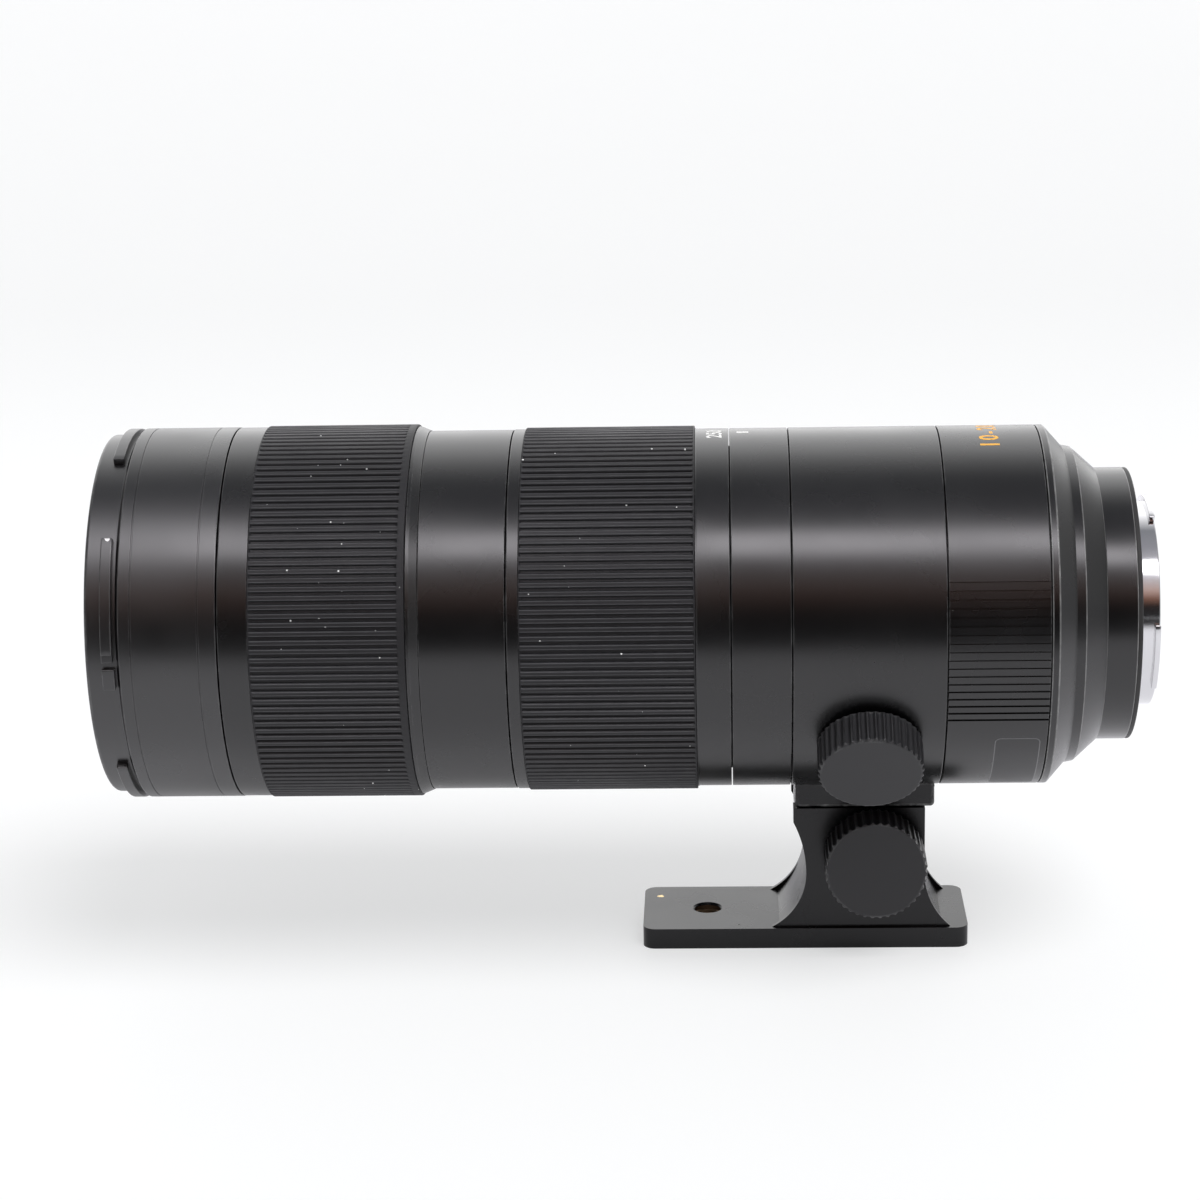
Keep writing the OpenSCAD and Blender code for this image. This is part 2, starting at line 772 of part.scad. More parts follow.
module focus_grip() {
    color("#101011") grip_band(x_focus_grip + seat_gap, x_focus_grip_end - seat_gap, focus_r,
        focus_r - grip_depth + seat_gap, focus_ribs);
}

module focus_sensor() {
    middle = (x_focus_grip + x_focus_grip_end) / 2;
    color("#0b3d2e") intersection() {
        ring(middle - sensor_len / 2, middle + sensor_len / 2,
            focus_r - grip_depth - skin - free_gap, guide_seat_r);
        translate([middle - sensor_len, -sensor_w / 2, 0]) cube([2 * sensor_len, sensor_w, focus_r]);
    }
}

module middle_barrel() {
    color("#1c1c1e") shell_ring(x_middle + half_joint, x_zoom - half_joint, middle_r,
        middle_r - skin, guide_seat_r);
}

module zoom_ring() {
    x0 = x_zoom + half_joint;
    x1 = x_index - half_joint;
    floor_r = zoom_r - grip_depth;
    relief_r = floor_r - skin;
    color("#1c1c1e") difference() {
        turned([
            [guide_run_r, x0], [zoom_band_r - grip_edge, x0], [zoom_band_r, x0 + grip_edge],
            [zoom_band_r, x_zoom_grip], [floor_r, x_zoom_grip], [floor_r, x_zoom_grip_end],
            [zoom_band_r, x_zoom_grip_end], [zoom_band_r, x_zoom_grip_end + grip_edge],
            [barrel_r, x_zoom_grip_end + 2 * grip_edge], [barrel_r, x1],
            [guide_run_r, x1], [guide_run_r, x1 - land_len], [relief_r, x1 - land_len],
            [relief_r, x_key + key_r + land_len], [guide_run_r, x_key + key_r + land_len]
        ]);
        spoke(x_key, guide_r - over, guide_r + key_rise + seat_gap, key_angle, key_r + seat_gap);
    }
}

module zoom_grip() {
    color("#101011") grip_band(x_zoom_grip + seat_gap, x_zoom_grip_end - seat_gap, zoom_r,
        zoom_r - grip_depth + seat_gap, zoom_ribs);
}

module zoom_key() {
    color("#b08d57") spoke(x_key, cam_in_r + free_gap, guide_r + key_rise, key_angle, key_r);
}

module cam_tube() {
    color("#77777c") difference() {
        ring(x_cam, x_cam_end, cam_r, cam_in_r);
        for (k = [0 : roller_count - 1]) {
            cam_slot(x_variator, -variator_travel, roller_angle(variator_angle, k));
            cam_slot(x_compensator, compensator_travel, roller_angle(compensator_angle, k));
        }
        spoke(x_key, cam_in_r - over, cam_r + over, key_angle, key_r + seat_gap);
    }
}

module variator_cell() {
    color("#2a2a2c") zoom_cell(x_variator, variator_angle);
}

module variator_lens() {
    color("#3a4a5a") hollow_glass(x_variator - inner_glass_edge / 2 + seat_gap, inner_glass_r,
        inner_glass_edge, inner_glass_bulge, inner_glass_bulge);
}

module variator_rollers() {
    color("#b08d57") rollers(x_variator, variator_angle);
}

module compensator_cell() {
    color("#2a2a2c") zoom_cell(x_compensator, compensator_angle);
}

module compensator_lens() {
    rise = lip_rise(inner_glass_r, inner_glass_bulge);
    color("#3a4a5a") bulging_glass(x_compensator - inner_glass_edge / 2 + rise + seat_gap, inner_glass_r,
        inner_glass_edge, inner_glass_bulge, inner_glass_bulge);
}

module compensator_rollers() {
    color("#b08d57") rollers(x_compensator, compensator_angle);
}

module index_ring() {
    color("#1c1c1e") shell_ring(x_index + half_joint, x_collar - half_joint, barrel_r,
        shell_in_r, guide_seat_r);
}

module iris_housing() {
    color("#2a2a2c") difference() {
        turned([
            [iris_open_r, x_iris], [inner_seat_r, x_iris], [inner_seat_r, x_iris_cover - seat_gap],
            [iris_wall_r, x_iris_cover - seat_gap], [iris_wall_r, x_iris + iris_plate],
            [iris_open_r, x_iris + iris_plate]
        ]);
        for (i = [0 : iris_blades - 1])
            bar(x_iris - over, x_iris + iris_plate + over, pivot_r, i * 360 / iris_blades,
                blade_pin_r + run_gap);
    }
}

module iris_cover() {
    color("#2a2a2c") ring(x_iris_cover, x_iris_end, inner_seat_r, iris_open_r);
}

module iris_drive_ring() {
    color("#77777c") difference() {
        ring(x_drive, x_drive + iris_plate, drive_r, drive_in_r);
        for (i = [0 : iris_blades - 1])
            ring_arc(x_drive - over, x_drive + iris_plate + over, drive_slot_out, drive_slot_in,
                i * 360 / iris_blades + pin_angle - iris_turn - drive_slot_spare,
                iris_turn + 2 * drive_slot_spare);
    }
}

// Blade number i, at its own level, with the pivot pin to the front and the drive pin to the rear
module iris_blade(i) {
    level = x_blades + (i - 1) * blade_pitch;
    start = (i - 1) * 360 / iris_blades;
    color("#141414") {
        ring_arc(level, level + blade_t, iris_open_r + blade_w, iris_open_r, start - pin_angle, blade_arc);
        ring_arc(level, level + blade_t, pivot_r + blade_tab, iris_open_r + blade_w - bite,
            start - pin_angle / 2, pin_angle * 2);
        bar(x_iris + run_gap, level + blade_t, pivot_r, start, blade_pin_r);
        bar(level, x_drive + iris_plate - run_gap, pivot_r, start + pin_angle, blade_pin_r);
    }
}

module focus_cell() {
    color("#2a2a2c") difference() {
        union() {
            ring(x_focus_cell, x_focus_cell + focus_cell_len, focus_cell_r, focus_glass_r - glass_lip);
            for (a = concat(rod_angles, [screw_angle]))
                on_axis() rotate([0, 0, a]) translate([focus_cell_r - ear_root, -ear_w / 2, x_focus_cell])
                    cube([ear_r - focus_cell_r + ear_root, ear_w, focus_cell_len]);
        }
        ring(x_focus_cell + glass_lip, x_focus_cell + focus_cell_len + over, focus_glass_r + seat_gap, 0);
        for (a = concat(rod_angles, [screw_angle]))
            bar(x_focus_cell - over, x_focus_cell + focus_cell_len + over, rod_circle_r, a, rod_r + run_gap);
    }
}

module focus_lens() {
    color("#3a4a5a") hollow_glass(x_focus_cell + glass_lip + seat_gap, focus_glass_r, inner_glass_edge,
        inner_glass_bulge, inner_glass_bulge);
}

module focus_guide_rods() {
    color("#c8c8cc") for (a = rod_angles)
        bar(x_rods, x_rods_end - seat_gap, rod_circle_r, a, rod_r);
}

module focus_motor() {
    color("#8a8a8e") difference() {
        bar(x_rods, x_rods + motor_len, rod_circle_r, screw_angle, motor_r);
        bar(x_rods + motor_len - screw_socket, x_rods + motor_len + over, rod_circle_r, screw_angle,
            journal_r + run_gap);
    }
}

module focus_lead_screw() {
    reach = focus_travel + thread_spare;
    color("#c8c8cc") {
        bar(x_rods + motor_len - screw_socket + run_gap, x_rods_end - run_gap, rod_circle_r,
            screw_angle, journal_r);
        bar(x_focus_cell - reach, x_focus_cell + focus_cell_len + reach, rod_circle_r, screw_angle, rod_r);
    }
}

module collar_ring() {
    x0 = x_collar + half_joint;
    x1 = x_collar_end - half_joint;
    root = dovetail_w / 2;
    color("#1c1c1e") difference() {
        union() {
            ring(x0, x1, barrel_r, collar_in_r);
            translate([lug_x0, -neck_w / 2, -lug_drop]) cube([lug_x1 - lug_x0, neck_w, lug_drop / 2]);
            translate([lug_x0, 0, 0]) rotate([90, 0, 90]) linear_extrude(height = dovetail_x1 - lug_x0) polygon([
                [-root, bite - lug_drop], [-root, -lug_drop], [-root - dovetail_flare, -lug_drop - dovetail_h],
                [root + dovetail_flare, -lug_drop - dovetail_h], [root, -lug_drop], [root, bite - lug_drop]
            ]);
        }
        ring(x0 - over, x1 + over, collar_in_r, 0);
        at_collar_knob() cylinder(h = pad_pocket_end, r = pad_r + free_gap);
        at_collar_knob() cylinder(h = barrel_r + over, r = knob_screw_r + run_gap);
    }
}

module collar_liners() {
    x0 = x_collar + half_joint;
    x1 = x_collar_end - half_joint;
    color("#d9d9d2") {
        ring(x0, x0 + liner_len, collar_in_r - seat_gap, liner_r);
        ring(x1 - liner_len, x1, collar_in_r - seat_gap, liner_r);
    }
}

module collar_knob() {
    color("#1a1a1b") at_collar_knob() translate([0, 0, collar_knob_base]) knob(collar_knob_len);
}

module collar_knob_screw() {
    color("#9a9a9e") at_collar_knob() translate([0, 0, screw_tip])
        cylinder(h = collar_knob_base + knob_screw_sink - seat_gap - screw_tip, r = knob_screw_r);
}

module collar_brake_pad() {
    color("#5a4632") at_collar_knob() translate([0, 0, pad_face]) cylinder(h = pad_t, r = pad_r);
}

module foot_neck() {
    root = dovetail_w / 2 + free_gap;
    deep = dovetail_h + free_gap;
    wide = root + dovetail_flare;
    waist_x = neck_x0 + neck_waist;
    toe_x0 = waist_x - neck_flare;
    heel_x = neck_x1 + heel_flare;
    inner_w = neck_w - 2 * neck_rim;
    color("#1c1c1e") difference() {
        translate([toe_x0 - over, -neck_w / 2, neck_bottom])
            cube([heel_x - toe_x0 + 2 * over, neck_w, neck_top - neck_bottom]);
        translate([waist_x - waist_down_r, 0, neck_waist_z]) rotate([90, 0, 0])
            cylinder(h = big, r = waist_down_r, center = true);
        translate([waist_x - recess_start - toe_recess_r, 0, neck_waist_z]) rotate([90, 0, 0])
            cylinder(h = inner_w, r = toe_recess_r, center = true);
        intersection() {
            translate([waist_x - waist_up_r, 0, neck_waist_z]) rotate([90, 0, 0])
                cylinder(h = big, r = waist_up_r, center = true);
            translate([waist_x - big, -big / 2, neck_waist_z]) cube([big, big, big]);
        }
        translate([neck_x0 - big, -big / 2, neck_top - neck_brow]) cube([big, big, big]);
        translate([neck_x1 + heel_r, 0, neck_waist_z]) rotate([90, 0, 0])
            cylinder(h = big, r = heel_r, center = true);
        translate([neck_x1 + recess_start + heel_recess_r, 0, neck_waist_z]) rotate([90, 0, 0])
            cylinder(h = inner_w, r = heel_recess_r, center = true);
        translate([neck_x1, -big / 2, neck_waist_z]) cube([big, big, big]);
        translate([toe_x0 - over, 0, 0]) rotate([90, 0, 90]) linear_extrude(height = big) polygon([
            [-root, neck_top + over], [-root, neck_top + free_gap], [-wide, neck_top - dovetail_h],
            [wide, neck_top - dovetail_h], [root, neck_top + free_gap], [root, neck_top + over]
        ]);
        translate([toe_x0 - over, slit_y - slit_w / 2, slit_z])
            cube([big, slit_w, neck_top - deep - slit_z + over]);
        at_foot_knob() translate([0, 0, -foot_screw_in]) cylinder(h = neck_w, r = knob_screw_r + run_gap);
        for (x = plate_screw_xs)
            translate([x, 0, neck_bottom - over])
                cylinder(h = plate_screw_len + over, r = plate_screw_r + seat_gap);
    }
}

module foot_plate() {
    inset_x0 = plate_x0 + plate_corner;
    inset_x1 = plate_x1 - plate_corner;
    half = plate_w / 2;
    color("#1a1a1c") difference() {
        union() {
            translate([inset_x0, -half, plate_bottom]) cube([inset_x1 - inset_x0, plate_w, plate_t]);
            translate([plate_x0, -half + plate_corner, plate_bottom])
                cube([plate_x1 - plate_x0, plate_w - 2 * plate_corner, plate_t]);
            for (x = [inset_x0, inset_x1], y = [-half + plate_corner, half - plate_corner])
                translate([x, y, plate_bottom]) cylinder(h = plate_t, r = plate_corner);
        }
        translate([tripod_x, 0, plate_bottom - over]) cylinder(h = plate_t + 2 * over, r = tripod_r);
        translate([tripod_x, 0, plate_bottom])
            cylinder(h = tripod_bevel, r1 = tripod_r + tripod_bevel, r2 = tripod_r);
        translate([tripod_x, 0, plate_bottom + plate_t - tripod_bevel])
            cylinder(h = tripod_bevel, r1 = tripod_r, r2 = tripod_r + tripod_bevel);
        for (x = plate_screw_xs) {
            translate([x, 0, plate_bottom - over])
                cylinder(h = plate_t + 2 * over, r = plate_screw_r + seat_gap);
            translate([x, 0, plate_bottom - over])
                cylinder(h = plate_screw_head_t + over, r = plate_screw_head_r + seat_gap);
        }
    }
}

module foot_plate_screws() {
    head_z = plate_bottom + plate_screw_sink;
    head_t = plate_screw_head_t - plate_screw_sink - seat_gap;
    tip_z = neck_bottom + plate_screw_len - plate_screw_sink;
    color("#2c2c2e") for (x = plate_screw_xs) translate([x, 0, 0]) {
        translate([0, 0, head_z]) cylinder(h = head_t, r = plate_screw_head_r);
        translate([0, 0, head_z]) cylinder(h = tip_z - head_z, r = plate_screw_r);
    }
}

module foot_knob() {
    color("#1a1a1b") at_foot_knob() translate([0, 0, foot_knob_base]) knob(foot_knob_len);
}

module foot_knob_screw() {
    color("#9a9a9e") at_foot_knob() translate([0, 0, -foot_screw_in + run_gap])
        cylinder(h = foot_knob_base + knob_screw_sink - seat_gap + foot_screw_in - run_gap, r = knob_screw_r);
}

module rear_barrel() {
    x0 = x_rear_barrel + half_joint;
    x1 = x_rear_barrel_end - half_joint;
    color("#1c1c1e") difference() {
        turned([
            [guide_seat_r, x_sleeve], [sleeve_r, x_sleeve], [sleeve_r, x0], [barrel_r, x0], [barrel_r, x1],
            [shell_in_r, x1], [shell_in_r, x_guide_end], [guide_seat_r, x_guide_end]
        ]);
        for (side = panel_angles, i = [0 : panel_lines - 1])
            on_axis() rotate([0, 0, side + (i - (panel_lines - 1) / 2) * panel_pitch])
                translate([barrel_r - panel_line_d, -panel_line_w / 2, x0 - bite])
                    cube([over, panel_line_w, x1 - x0 + 2 * bite]);
    }
}

module rear_cone() {
    x0 = x_rear_barrel_end + half_joint;
    color("#1c1c1e") difference() {
        turned([
            [cone_spigot_r - cone_skin, x0 - spigot_fit_len], [cone_spigot_r, x0 - spigot_fit_len],
            [cone_spigot_r, x0], [barrel_r, x0], [barrel_r, x_cone_band], [cone_step_r, x_cone_step],
            [cone_step_r - cone_step_fall, x_cone_step_rear], [tail_r + tail_edge, x_tail], [tail_r, x_tail],
            [tail_r, x_tail_end - seat_gap], [tail_in_r, x_tail_end - seat_gap], [tail_in_r, x_wall],
            [throat_r, x_wall], [throat_r, x_wall - wall_t], [tail_in_r, x_wall - wall_t],
            [tail_in_r, x_tail],
            [cone_step_r - cone_step_fall - cone_skin, x_cone_step_rear - cone_skin / 2],
            [cone_spigot_r - cone_skin, x_cone_band]
        ]);
        for (k = [0 : mount_screw_count - 1])
            mount_screw_bar(k, x_wall - wall_t - over, x_wall + over, mount_screw_r + seat_gap);
    }
}

module rear_cell() {
    x_lip = x_rear_glass - lip_rise(rear_glass_r, rear_glass_bulge) - seat_gap;
    color("#2a2a2c") difference() {
        turned([
            [rear_glass_r - glass_lip, x_rear_cell], [inner_seat_r, x_rear_cell],
            [inner_seat_r, x_guide_end + seat_gap], [rear_flange_r, x_guide_end + seat_gap],
            [rear_flange_r, x_guide_end + rear_flange_t], [rear_tube_r, x_guide_end + rear_flange_t],
            [rear_tube_r, x_rear_tube_end], [rear_glass_r + seat_gap, x_rear_tube_end],
            [rear_glass_r + seat_gap, x_lip], [rear_glass_r - glass_lip, x_lip]
        ]);
        for (a = concat(rod_angles, [screw_angle]))
            bar(x_rear_cell - over, x_rods_end, rod_circle_r, a,
                a == screw_angle ? journal_r + run_gap : rod_r + seat_gap);
    }
}

module rear_element() {
    color("#3a4a5a") bulging_glass(x_rear_glass, rear_glass_r, rear_glass_edge,
        rear_glass_bulge, rear_glass_bulge);
}

module rear_baffle() {
    color("#101011") difference() {
        ring(x_baffle, x_baffle + baffle_t, baffle_r, 0);
        translate([x_baffle - over, -window_y, -window_z])
            cube([baffle_t + 2 * over, 2 * window_y, 2 * window_z]);
    }
}

module circuit_board() {
    color("#0b3d2e") ring(x_board, x_board + board_t, board_r, board_in_r);
}

module mount_seal() {
    color("#101011") ring(x_tail_end, 0, tail_r, tail_in_r);
}

module bayonet_mount() {
    color("#d4d5d8") difference() {
        union() {
            ring(x_flange, 0, flange_r, spigot_in_r);
            ring(-bite, spigot_len, spigot_r, spigot_in_r);
            for (lug = lug_arcs)
                ring_arc(spigot_len - lug_t, spigot_len, spigot_r + lug_rise, spigot_r - bite, lug[0], lug[1]);
        }
        for (k = [0 : mount_screw_count - 1]) {
            mount_screw_bar(k, x_flange - over, over, mount_screw_r + seat_gap);
            mount_screw_bar(k, -screw_head_t, over, screw_head_r + seat_gap);
        }
    }
}

module mount_screws() {
    color("#9a9a9e") for (k = [0 : mount_screw_count - 1]) {
        mount_screw_bar(k, seat_gap - screw_head_t, -screw_sink, screw_head_r);
        mount_screw_bar(k, x_wall - wall_t, -2 * screw_sink, mount_screw_r);
    }
}

module contact_block() {
    color("#101011") difference() {
        ring_arc(x_contact, x_contact + contact_len, contact_block_r, contact_block_in_r,
            -contact_arc / 2, contact_arc);
        for (i = [0 : contact_count - 1])
            bar(x_contact + contact_len - contact_sink, x_contact + contact_len + over,
                (contact_block_r + contact_block_in_r) / 2,
                contact_arc * ((i + 0.5) / contact_count - 0.5), contact_pin_r + seat_gap);
    }
}

module contact_pins() {
    color("#c9a227") for (i = [0 : contact_count - 1])
        bar(x_contact + contact_len - contact_sink + seat_gap, x_contact + contact_len + contact_pin_out,
            (contact_block_r + contact_block_in_r) / 2,
            contact_arc * ((i + 0.5) / contact_count - 0.5), contact_pin_r);
}

front_barrel();
front_retaining_ring();
front_cell();
front_element_1();
front_element_2();
guide_tube();
focus_ring();
focus_grip();
focus_sensor();
middle_barrel();
zoom_ring();
zoom_grip();
zoom_key();
cam_tube();
variator_cell();
variator_lens();
variator_rollers();
compensator_cell();
compensator_lens();
compensator_rollers();
index_ring();
iris_housing();
iris_cover();
iris_drive_ring();
iris_blade(1);  // iris_blade_1
iris_blade(2);  // iris_blade_2
iris_blade(3);  // iris_blade_3
iris_blade(4);  // iris_blade_4
iris_blade(5);  // iris_blade_5
iris_blade(6);  // iris_blade_6
iris_blade(7);  // iris_blade_7
focus_cell();
focus_lens();
focus_guide_rods();
focus_motor();
focus_lead_screw();
collar_ring();
collar_liners();
collar_knob();
collar_knob_screw();
collar_brake_pad();
foot_neck();
foot_plate();
foot_plate_screws();
foot_knob();
foot_knob_screw();
rear_barrel();
rear_cone();
rear_cell();
rear_element();
rear_baffle();
circuit_board();
mount_seal();
bayonet_mount();
mount_screws();
contact_block();
contact_pins();
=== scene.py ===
"""Looks of a camera zoom lens with a turning tripod collar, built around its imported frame.

Sizes are in millimetres, as on a maker's drawing, and meshes are written in metres. The optical axis is X, the
front points to -X, the bayonet flange is the plane x = 0 and +Z is up. Angles around the axis are elevations: 0 is
the near side (-Y), 90 is the top (+Z).
"""

import json
import logging
import math
from dataclasses import dataclass, replace
from enum import Enum
from functools import reduce
from typing import Callable, Iterable, Sequence

import bpy
import numpy as np
from mathutils import Matrix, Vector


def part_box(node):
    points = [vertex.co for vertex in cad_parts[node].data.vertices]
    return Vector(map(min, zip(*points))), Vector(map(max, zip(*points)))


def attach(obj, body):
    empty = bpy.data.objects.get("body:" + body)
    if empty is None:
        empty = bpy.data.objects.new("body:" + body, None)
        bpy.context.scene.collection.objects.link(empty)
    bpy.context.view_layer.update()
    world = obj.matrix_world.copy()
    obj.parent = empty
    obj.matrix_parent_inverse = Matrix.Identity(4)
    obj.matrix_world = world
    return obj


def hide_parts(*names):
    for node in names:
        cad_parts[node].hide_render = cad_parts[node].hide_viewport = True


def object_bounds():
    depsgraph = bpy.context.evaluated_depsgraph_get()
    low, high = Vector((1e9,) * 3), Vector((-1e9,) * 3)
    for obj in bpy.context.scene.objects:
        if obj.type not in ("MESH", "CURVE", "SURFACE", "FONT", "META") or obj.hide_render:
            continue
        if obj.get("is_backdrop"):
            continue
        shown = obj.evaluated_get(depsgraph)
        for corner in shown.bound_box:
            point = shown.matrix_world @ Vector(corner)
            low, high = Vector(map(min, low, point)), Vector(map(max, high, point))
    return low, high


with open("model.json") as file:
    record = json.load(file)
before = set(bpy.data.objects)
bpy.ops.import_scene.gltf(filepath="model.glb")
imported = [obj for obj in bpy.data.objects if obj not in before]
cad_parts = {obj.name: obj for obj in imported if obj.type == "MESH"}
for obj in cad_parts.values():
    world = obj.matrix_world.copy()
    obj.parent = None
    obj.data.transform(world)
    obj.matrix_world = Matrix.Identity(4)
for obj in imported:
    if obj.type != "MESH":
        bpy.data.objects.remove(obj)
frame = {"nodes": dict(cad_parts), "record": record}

LOG = logging.getLogger("zoom_lens")
MM = 0.001
SMOOTH_ANGLE = math.radians(38)

# Steps of a mesh: around the axis, along a swept arc, across a rounded corner and across a pillowed end.
AROUND = 288
SWEEP_STEPS = 24
ARC_STEPS = 5
END_STEPS = 4

# Support point beside a rounded corner, and the most that the corner's cut and the support take of a straight.
SUPPORT = 0.12
SUPPORT_SHARE = 0.2
CUT_SHARE = 0.48

# How far each ring reaches into the joint to its neighbour, and how deep a film is rooted in the barrel.
JOINT_CLOSE = 0.13
FILM_ROOT = 0.05

Corner = tuple[float, float, float]


class Body(Enum):
    """Moving bodies of the lens that new pieces ride on."""

    BARREL = "barrel"
    FOCUS = "focus_ring"
    ZOOM = "zoom_ring"
    COLLAR = "collar"
    COLLAR_KNOB = "collar_knob"
    FOOT = "foot"
    FOOT_KNOB = "foot_knob"


class Slot(Enum):
    """Material slots of the record."""

    BLACK_METAL = "black_metal"
    FOOT_METAL = "foot_metal"
    KNOB_METAL = "knob_metal"
    INNER_METAL = "inner_metal"
    GRIP_RUBBER = "grip_rubber"
    SEAL_RUBBER = "seal_rubber"
    CHROME = "chrome"
    STEEL = "steel"
    BRASS = "brass"
    CONTACT_GOLD = "contact_gold"
    LENS_GLASS = "lens_glass"
    BLACK_PLASTIC = "black_plastic"
    BLADE_BLACK = "blade_black"
    BOARD_GREEN = "board_green"
    LINER_WHITE = "liner_white"
    PAD_FIBRE = "pad_fibre"


@dataclass(frozen=True)
class Place:
    """Where a CAD node lies: its two ends along the axis and its reach from the axis, in millimetres."""

    front: float
    rear: float
    reach: float


def place(node: str) -> Place:
    """Reads a node's place from the frame.

    Args:
        node: Name of the CAD node.

    Returns:
        The node's ends along the axis and its reach.
    """
    low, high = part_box(node)
    return Place(low.x / MM, high.x / MM, max(high.y, -low.y) / MM)


@dataclass
class Surface:
    """Points, faces and wear of one mesh. Points are in millimetres and wear runs from 0 to 1."""

    points: np.ndarray
    faces: list[np.ndarray]
    wear: np.ndarray

    def joined(self, other: "Surface") -> "Surface":
        """Returns this surface and another one as a single surface."""
        shift = len(self.points)
        faces = self.faces + [rows + shift for rows in other.faces]
        points = np.concatenate([self.points, other.points])
        return Surface(points, faces, np.concatenate([self.wear, other.wear]))


def join_all(surfaces: Iterable[Surface]) -> Surface:
    """Returns all surfaces, in their order, as a single one."""
    return reduce(Surface.joined, surfaces)


def grid_faces(rows: int, cols: int, wrap_rows: bool, wrap_cols: bool) -> np.ndarray:
    """Quads of a grid of points numbered row by row.

    Args:
        rows: Rows of the grid.
        cols: Columns of the grid.
        wrap_rows: Whether the last row joins the first.
        wrap_cols: Whether the last column joins the first.

    Returns:
        Array of quads, turned so that a clockwise profile of (x, r) carried around the axis faces outwards.
    """
    i = np.arange(rows if wrap_rows else rows - 1)[:, None]
    j = np.arange(cols if wrap_cols else cols - 1)[None, :]
    i2 = (i + 1) % rows
    j2 = (j + 1) % cols
    quads = np.stack([i * cols + j, i * cols + j2, i2 * cols + j2, i2 * cols + j], axis=-1)
    return quads.reshape(-1, 4)


def tube_faces(rows: int, cols: int) -> list[np.ndarray]:
    """Quads of a tube made of closed rows of points, with a flat face at each end.

    Args:
        rows: Rows along the tube.
        cols: Points of each row.

    Returns:
        The quads and the two end faces.
    """
    row = np.arange(cols)
    return [grid_faces(rows, cols, False, True), np.stack([row[::-1], row + (rows - 1) * cols])]


def poled_faces(rows: int, cols: int) -> list[np.ndarray]:
    """Quads of a tube made of closed rows of points, with a fan to a pole at each end.

    Args:
        rows: Rows along the tube.
        cols: Points of each row.

    Returns:
        The quads and both fans. The poles are the two points that follow the rows.
    """
    count = rows * cols
    j = np.arange(cols)
    j2 = (j + 1) % cols
    end = count - cols
    first = np.stack([np.full(cols, count), j2, j], axis=-1)
    last = np.stack([np.full(cols, count + 1), end + j, end + j2], axis=-1)
    return [grid_faces(rows, cols, False, True), first, last]


def rounded_loop(corners: Sequence[Corner]) -> tuple[np.ndarray, np.ndarray]:
    """Closed outline whose corners are arcs.

    Each corner of radius q is cut back by q / tan(half angle) on both sides, and an arc about the point on its
    bisector joins the cuts. A support point on each straight keeps the shading of the arc off the flat.

    Args:
        corners: Points of (u, v, corner radius), in order.

    Returns:
        Points in clockwise order and the wear of each point, which is 1 on an outward corner.
    """
    spots = np.array([c[:2] for c in corners], float)
    radii = np.array([c[2] for c in corners], float)
    area = np.sum(spots[:, 0] * np.roll(spots[:, 1], -1) - np.roll(spots[:, 0], -1) * spots[:, 1])
    if area > 0:
        spots, radii = spots[::-1], radii[::-1]
    points, wear = [], []
    for k, spot in enumerate(spots):
        back, ahead = spots[k - 1] - spot, spots[(k + 1) % len(spots)] - spot
        room_back, room_ahead = np.linalg.norm(back), np.linalg.norm(ahead)
        back, ahead = back / room_back, ahead / room_ahead
        if radii[k] <= 0:
            points.append(spot[None])
            wear.append(np.zeros(1))
            continue
        half = math.acos(np.clip(back @ ahead, -1, 1)) / 2
        cut = min(radii[k] / math.tan(half), CUT_SHARE * room_back, CUT_SHARE * room_ahead)
        radius = cut * math.tan(half)
        centre = spot + (back + ahead) / np.linalg.norm(back + ahead) * (radius / math.sin(half))
        start, end = spot + back * cut - centre, spot + ahead * cut - centre
        share = np.linspace(0, 1, ARC_STEPS)[:, None]
        sweep = math.pi - 2 * half
        arc = (np.sin((1 - share) * sweep) * start + np.sin(share * sweep) * end) / math.sin(sweep) + centre
        first = arc[:1] + back * min(SUPPORT, SUPPORT_SHARE * room_back)
        last = arc[-1:] + ahead * min(SUPPORT, SUPPORT_SHARE * room_ahead)
        convex = 1.0 if back[0] * ahead[1] - back[1] * ahead[0] > 0 else 0.0
        points.append(np.concatenate([first, arc, last]))
        wear.append(np.concatenate([[0.0], np.full(ARC_STEPS, convex), [0.0]]))
    return np.concatenate(points), np.concatenate(wear)


def around(x: np.ndarray, r: np.ndarray, elevation: np.ndarray) -> np.ndarray:
    """Points on rings: x along the axis, r from it, and elevation in radians from the near side to the top."""
    return np.stack(np.broadcast_arrays(x, -r * np.cos(elevation), r * np.sin(elevation)), axis=-1)


def turned(corners: Sequence[Corner], steps: int = AROUND,
           shape: Callable[[np.ndarray, np.ndarray, np.ndarray], np.ndarray] | None = None,
           angles: np.ndarray | None = None) -> Surface:
    """Closed outline of (x, r) carried once around the axis.

    Args:
        corners: Points of (x, r, corner radius).
        steps: Even steps around the axis.
        shape: Optional rule that takes x, r and the elevation and gives the radius to use there.
        angles: Optional elevations, in radians, in place of the even steps.

    Returns:
        The closed surface.
    """
    outline, wear = rounded_loop(corners)
    turn = np.linspace(0, 2 * math.pi, steps, endpoint=False) if angles is None else angles
    x, r = outline[:, :1], outline[:, 1:] + 0 * turn[None]
    if shape is not None:
        r = shape(x + 0 * r, r, turn[None] + 0 * r)
    points = around(x + 0 * r, r, -turn[None]).reshape(-1, 3)
    faces = grid_faces(len(outline), len(turn), True, True)
    return Surface(points, [faces], np.repeat(wear, len(turn)))


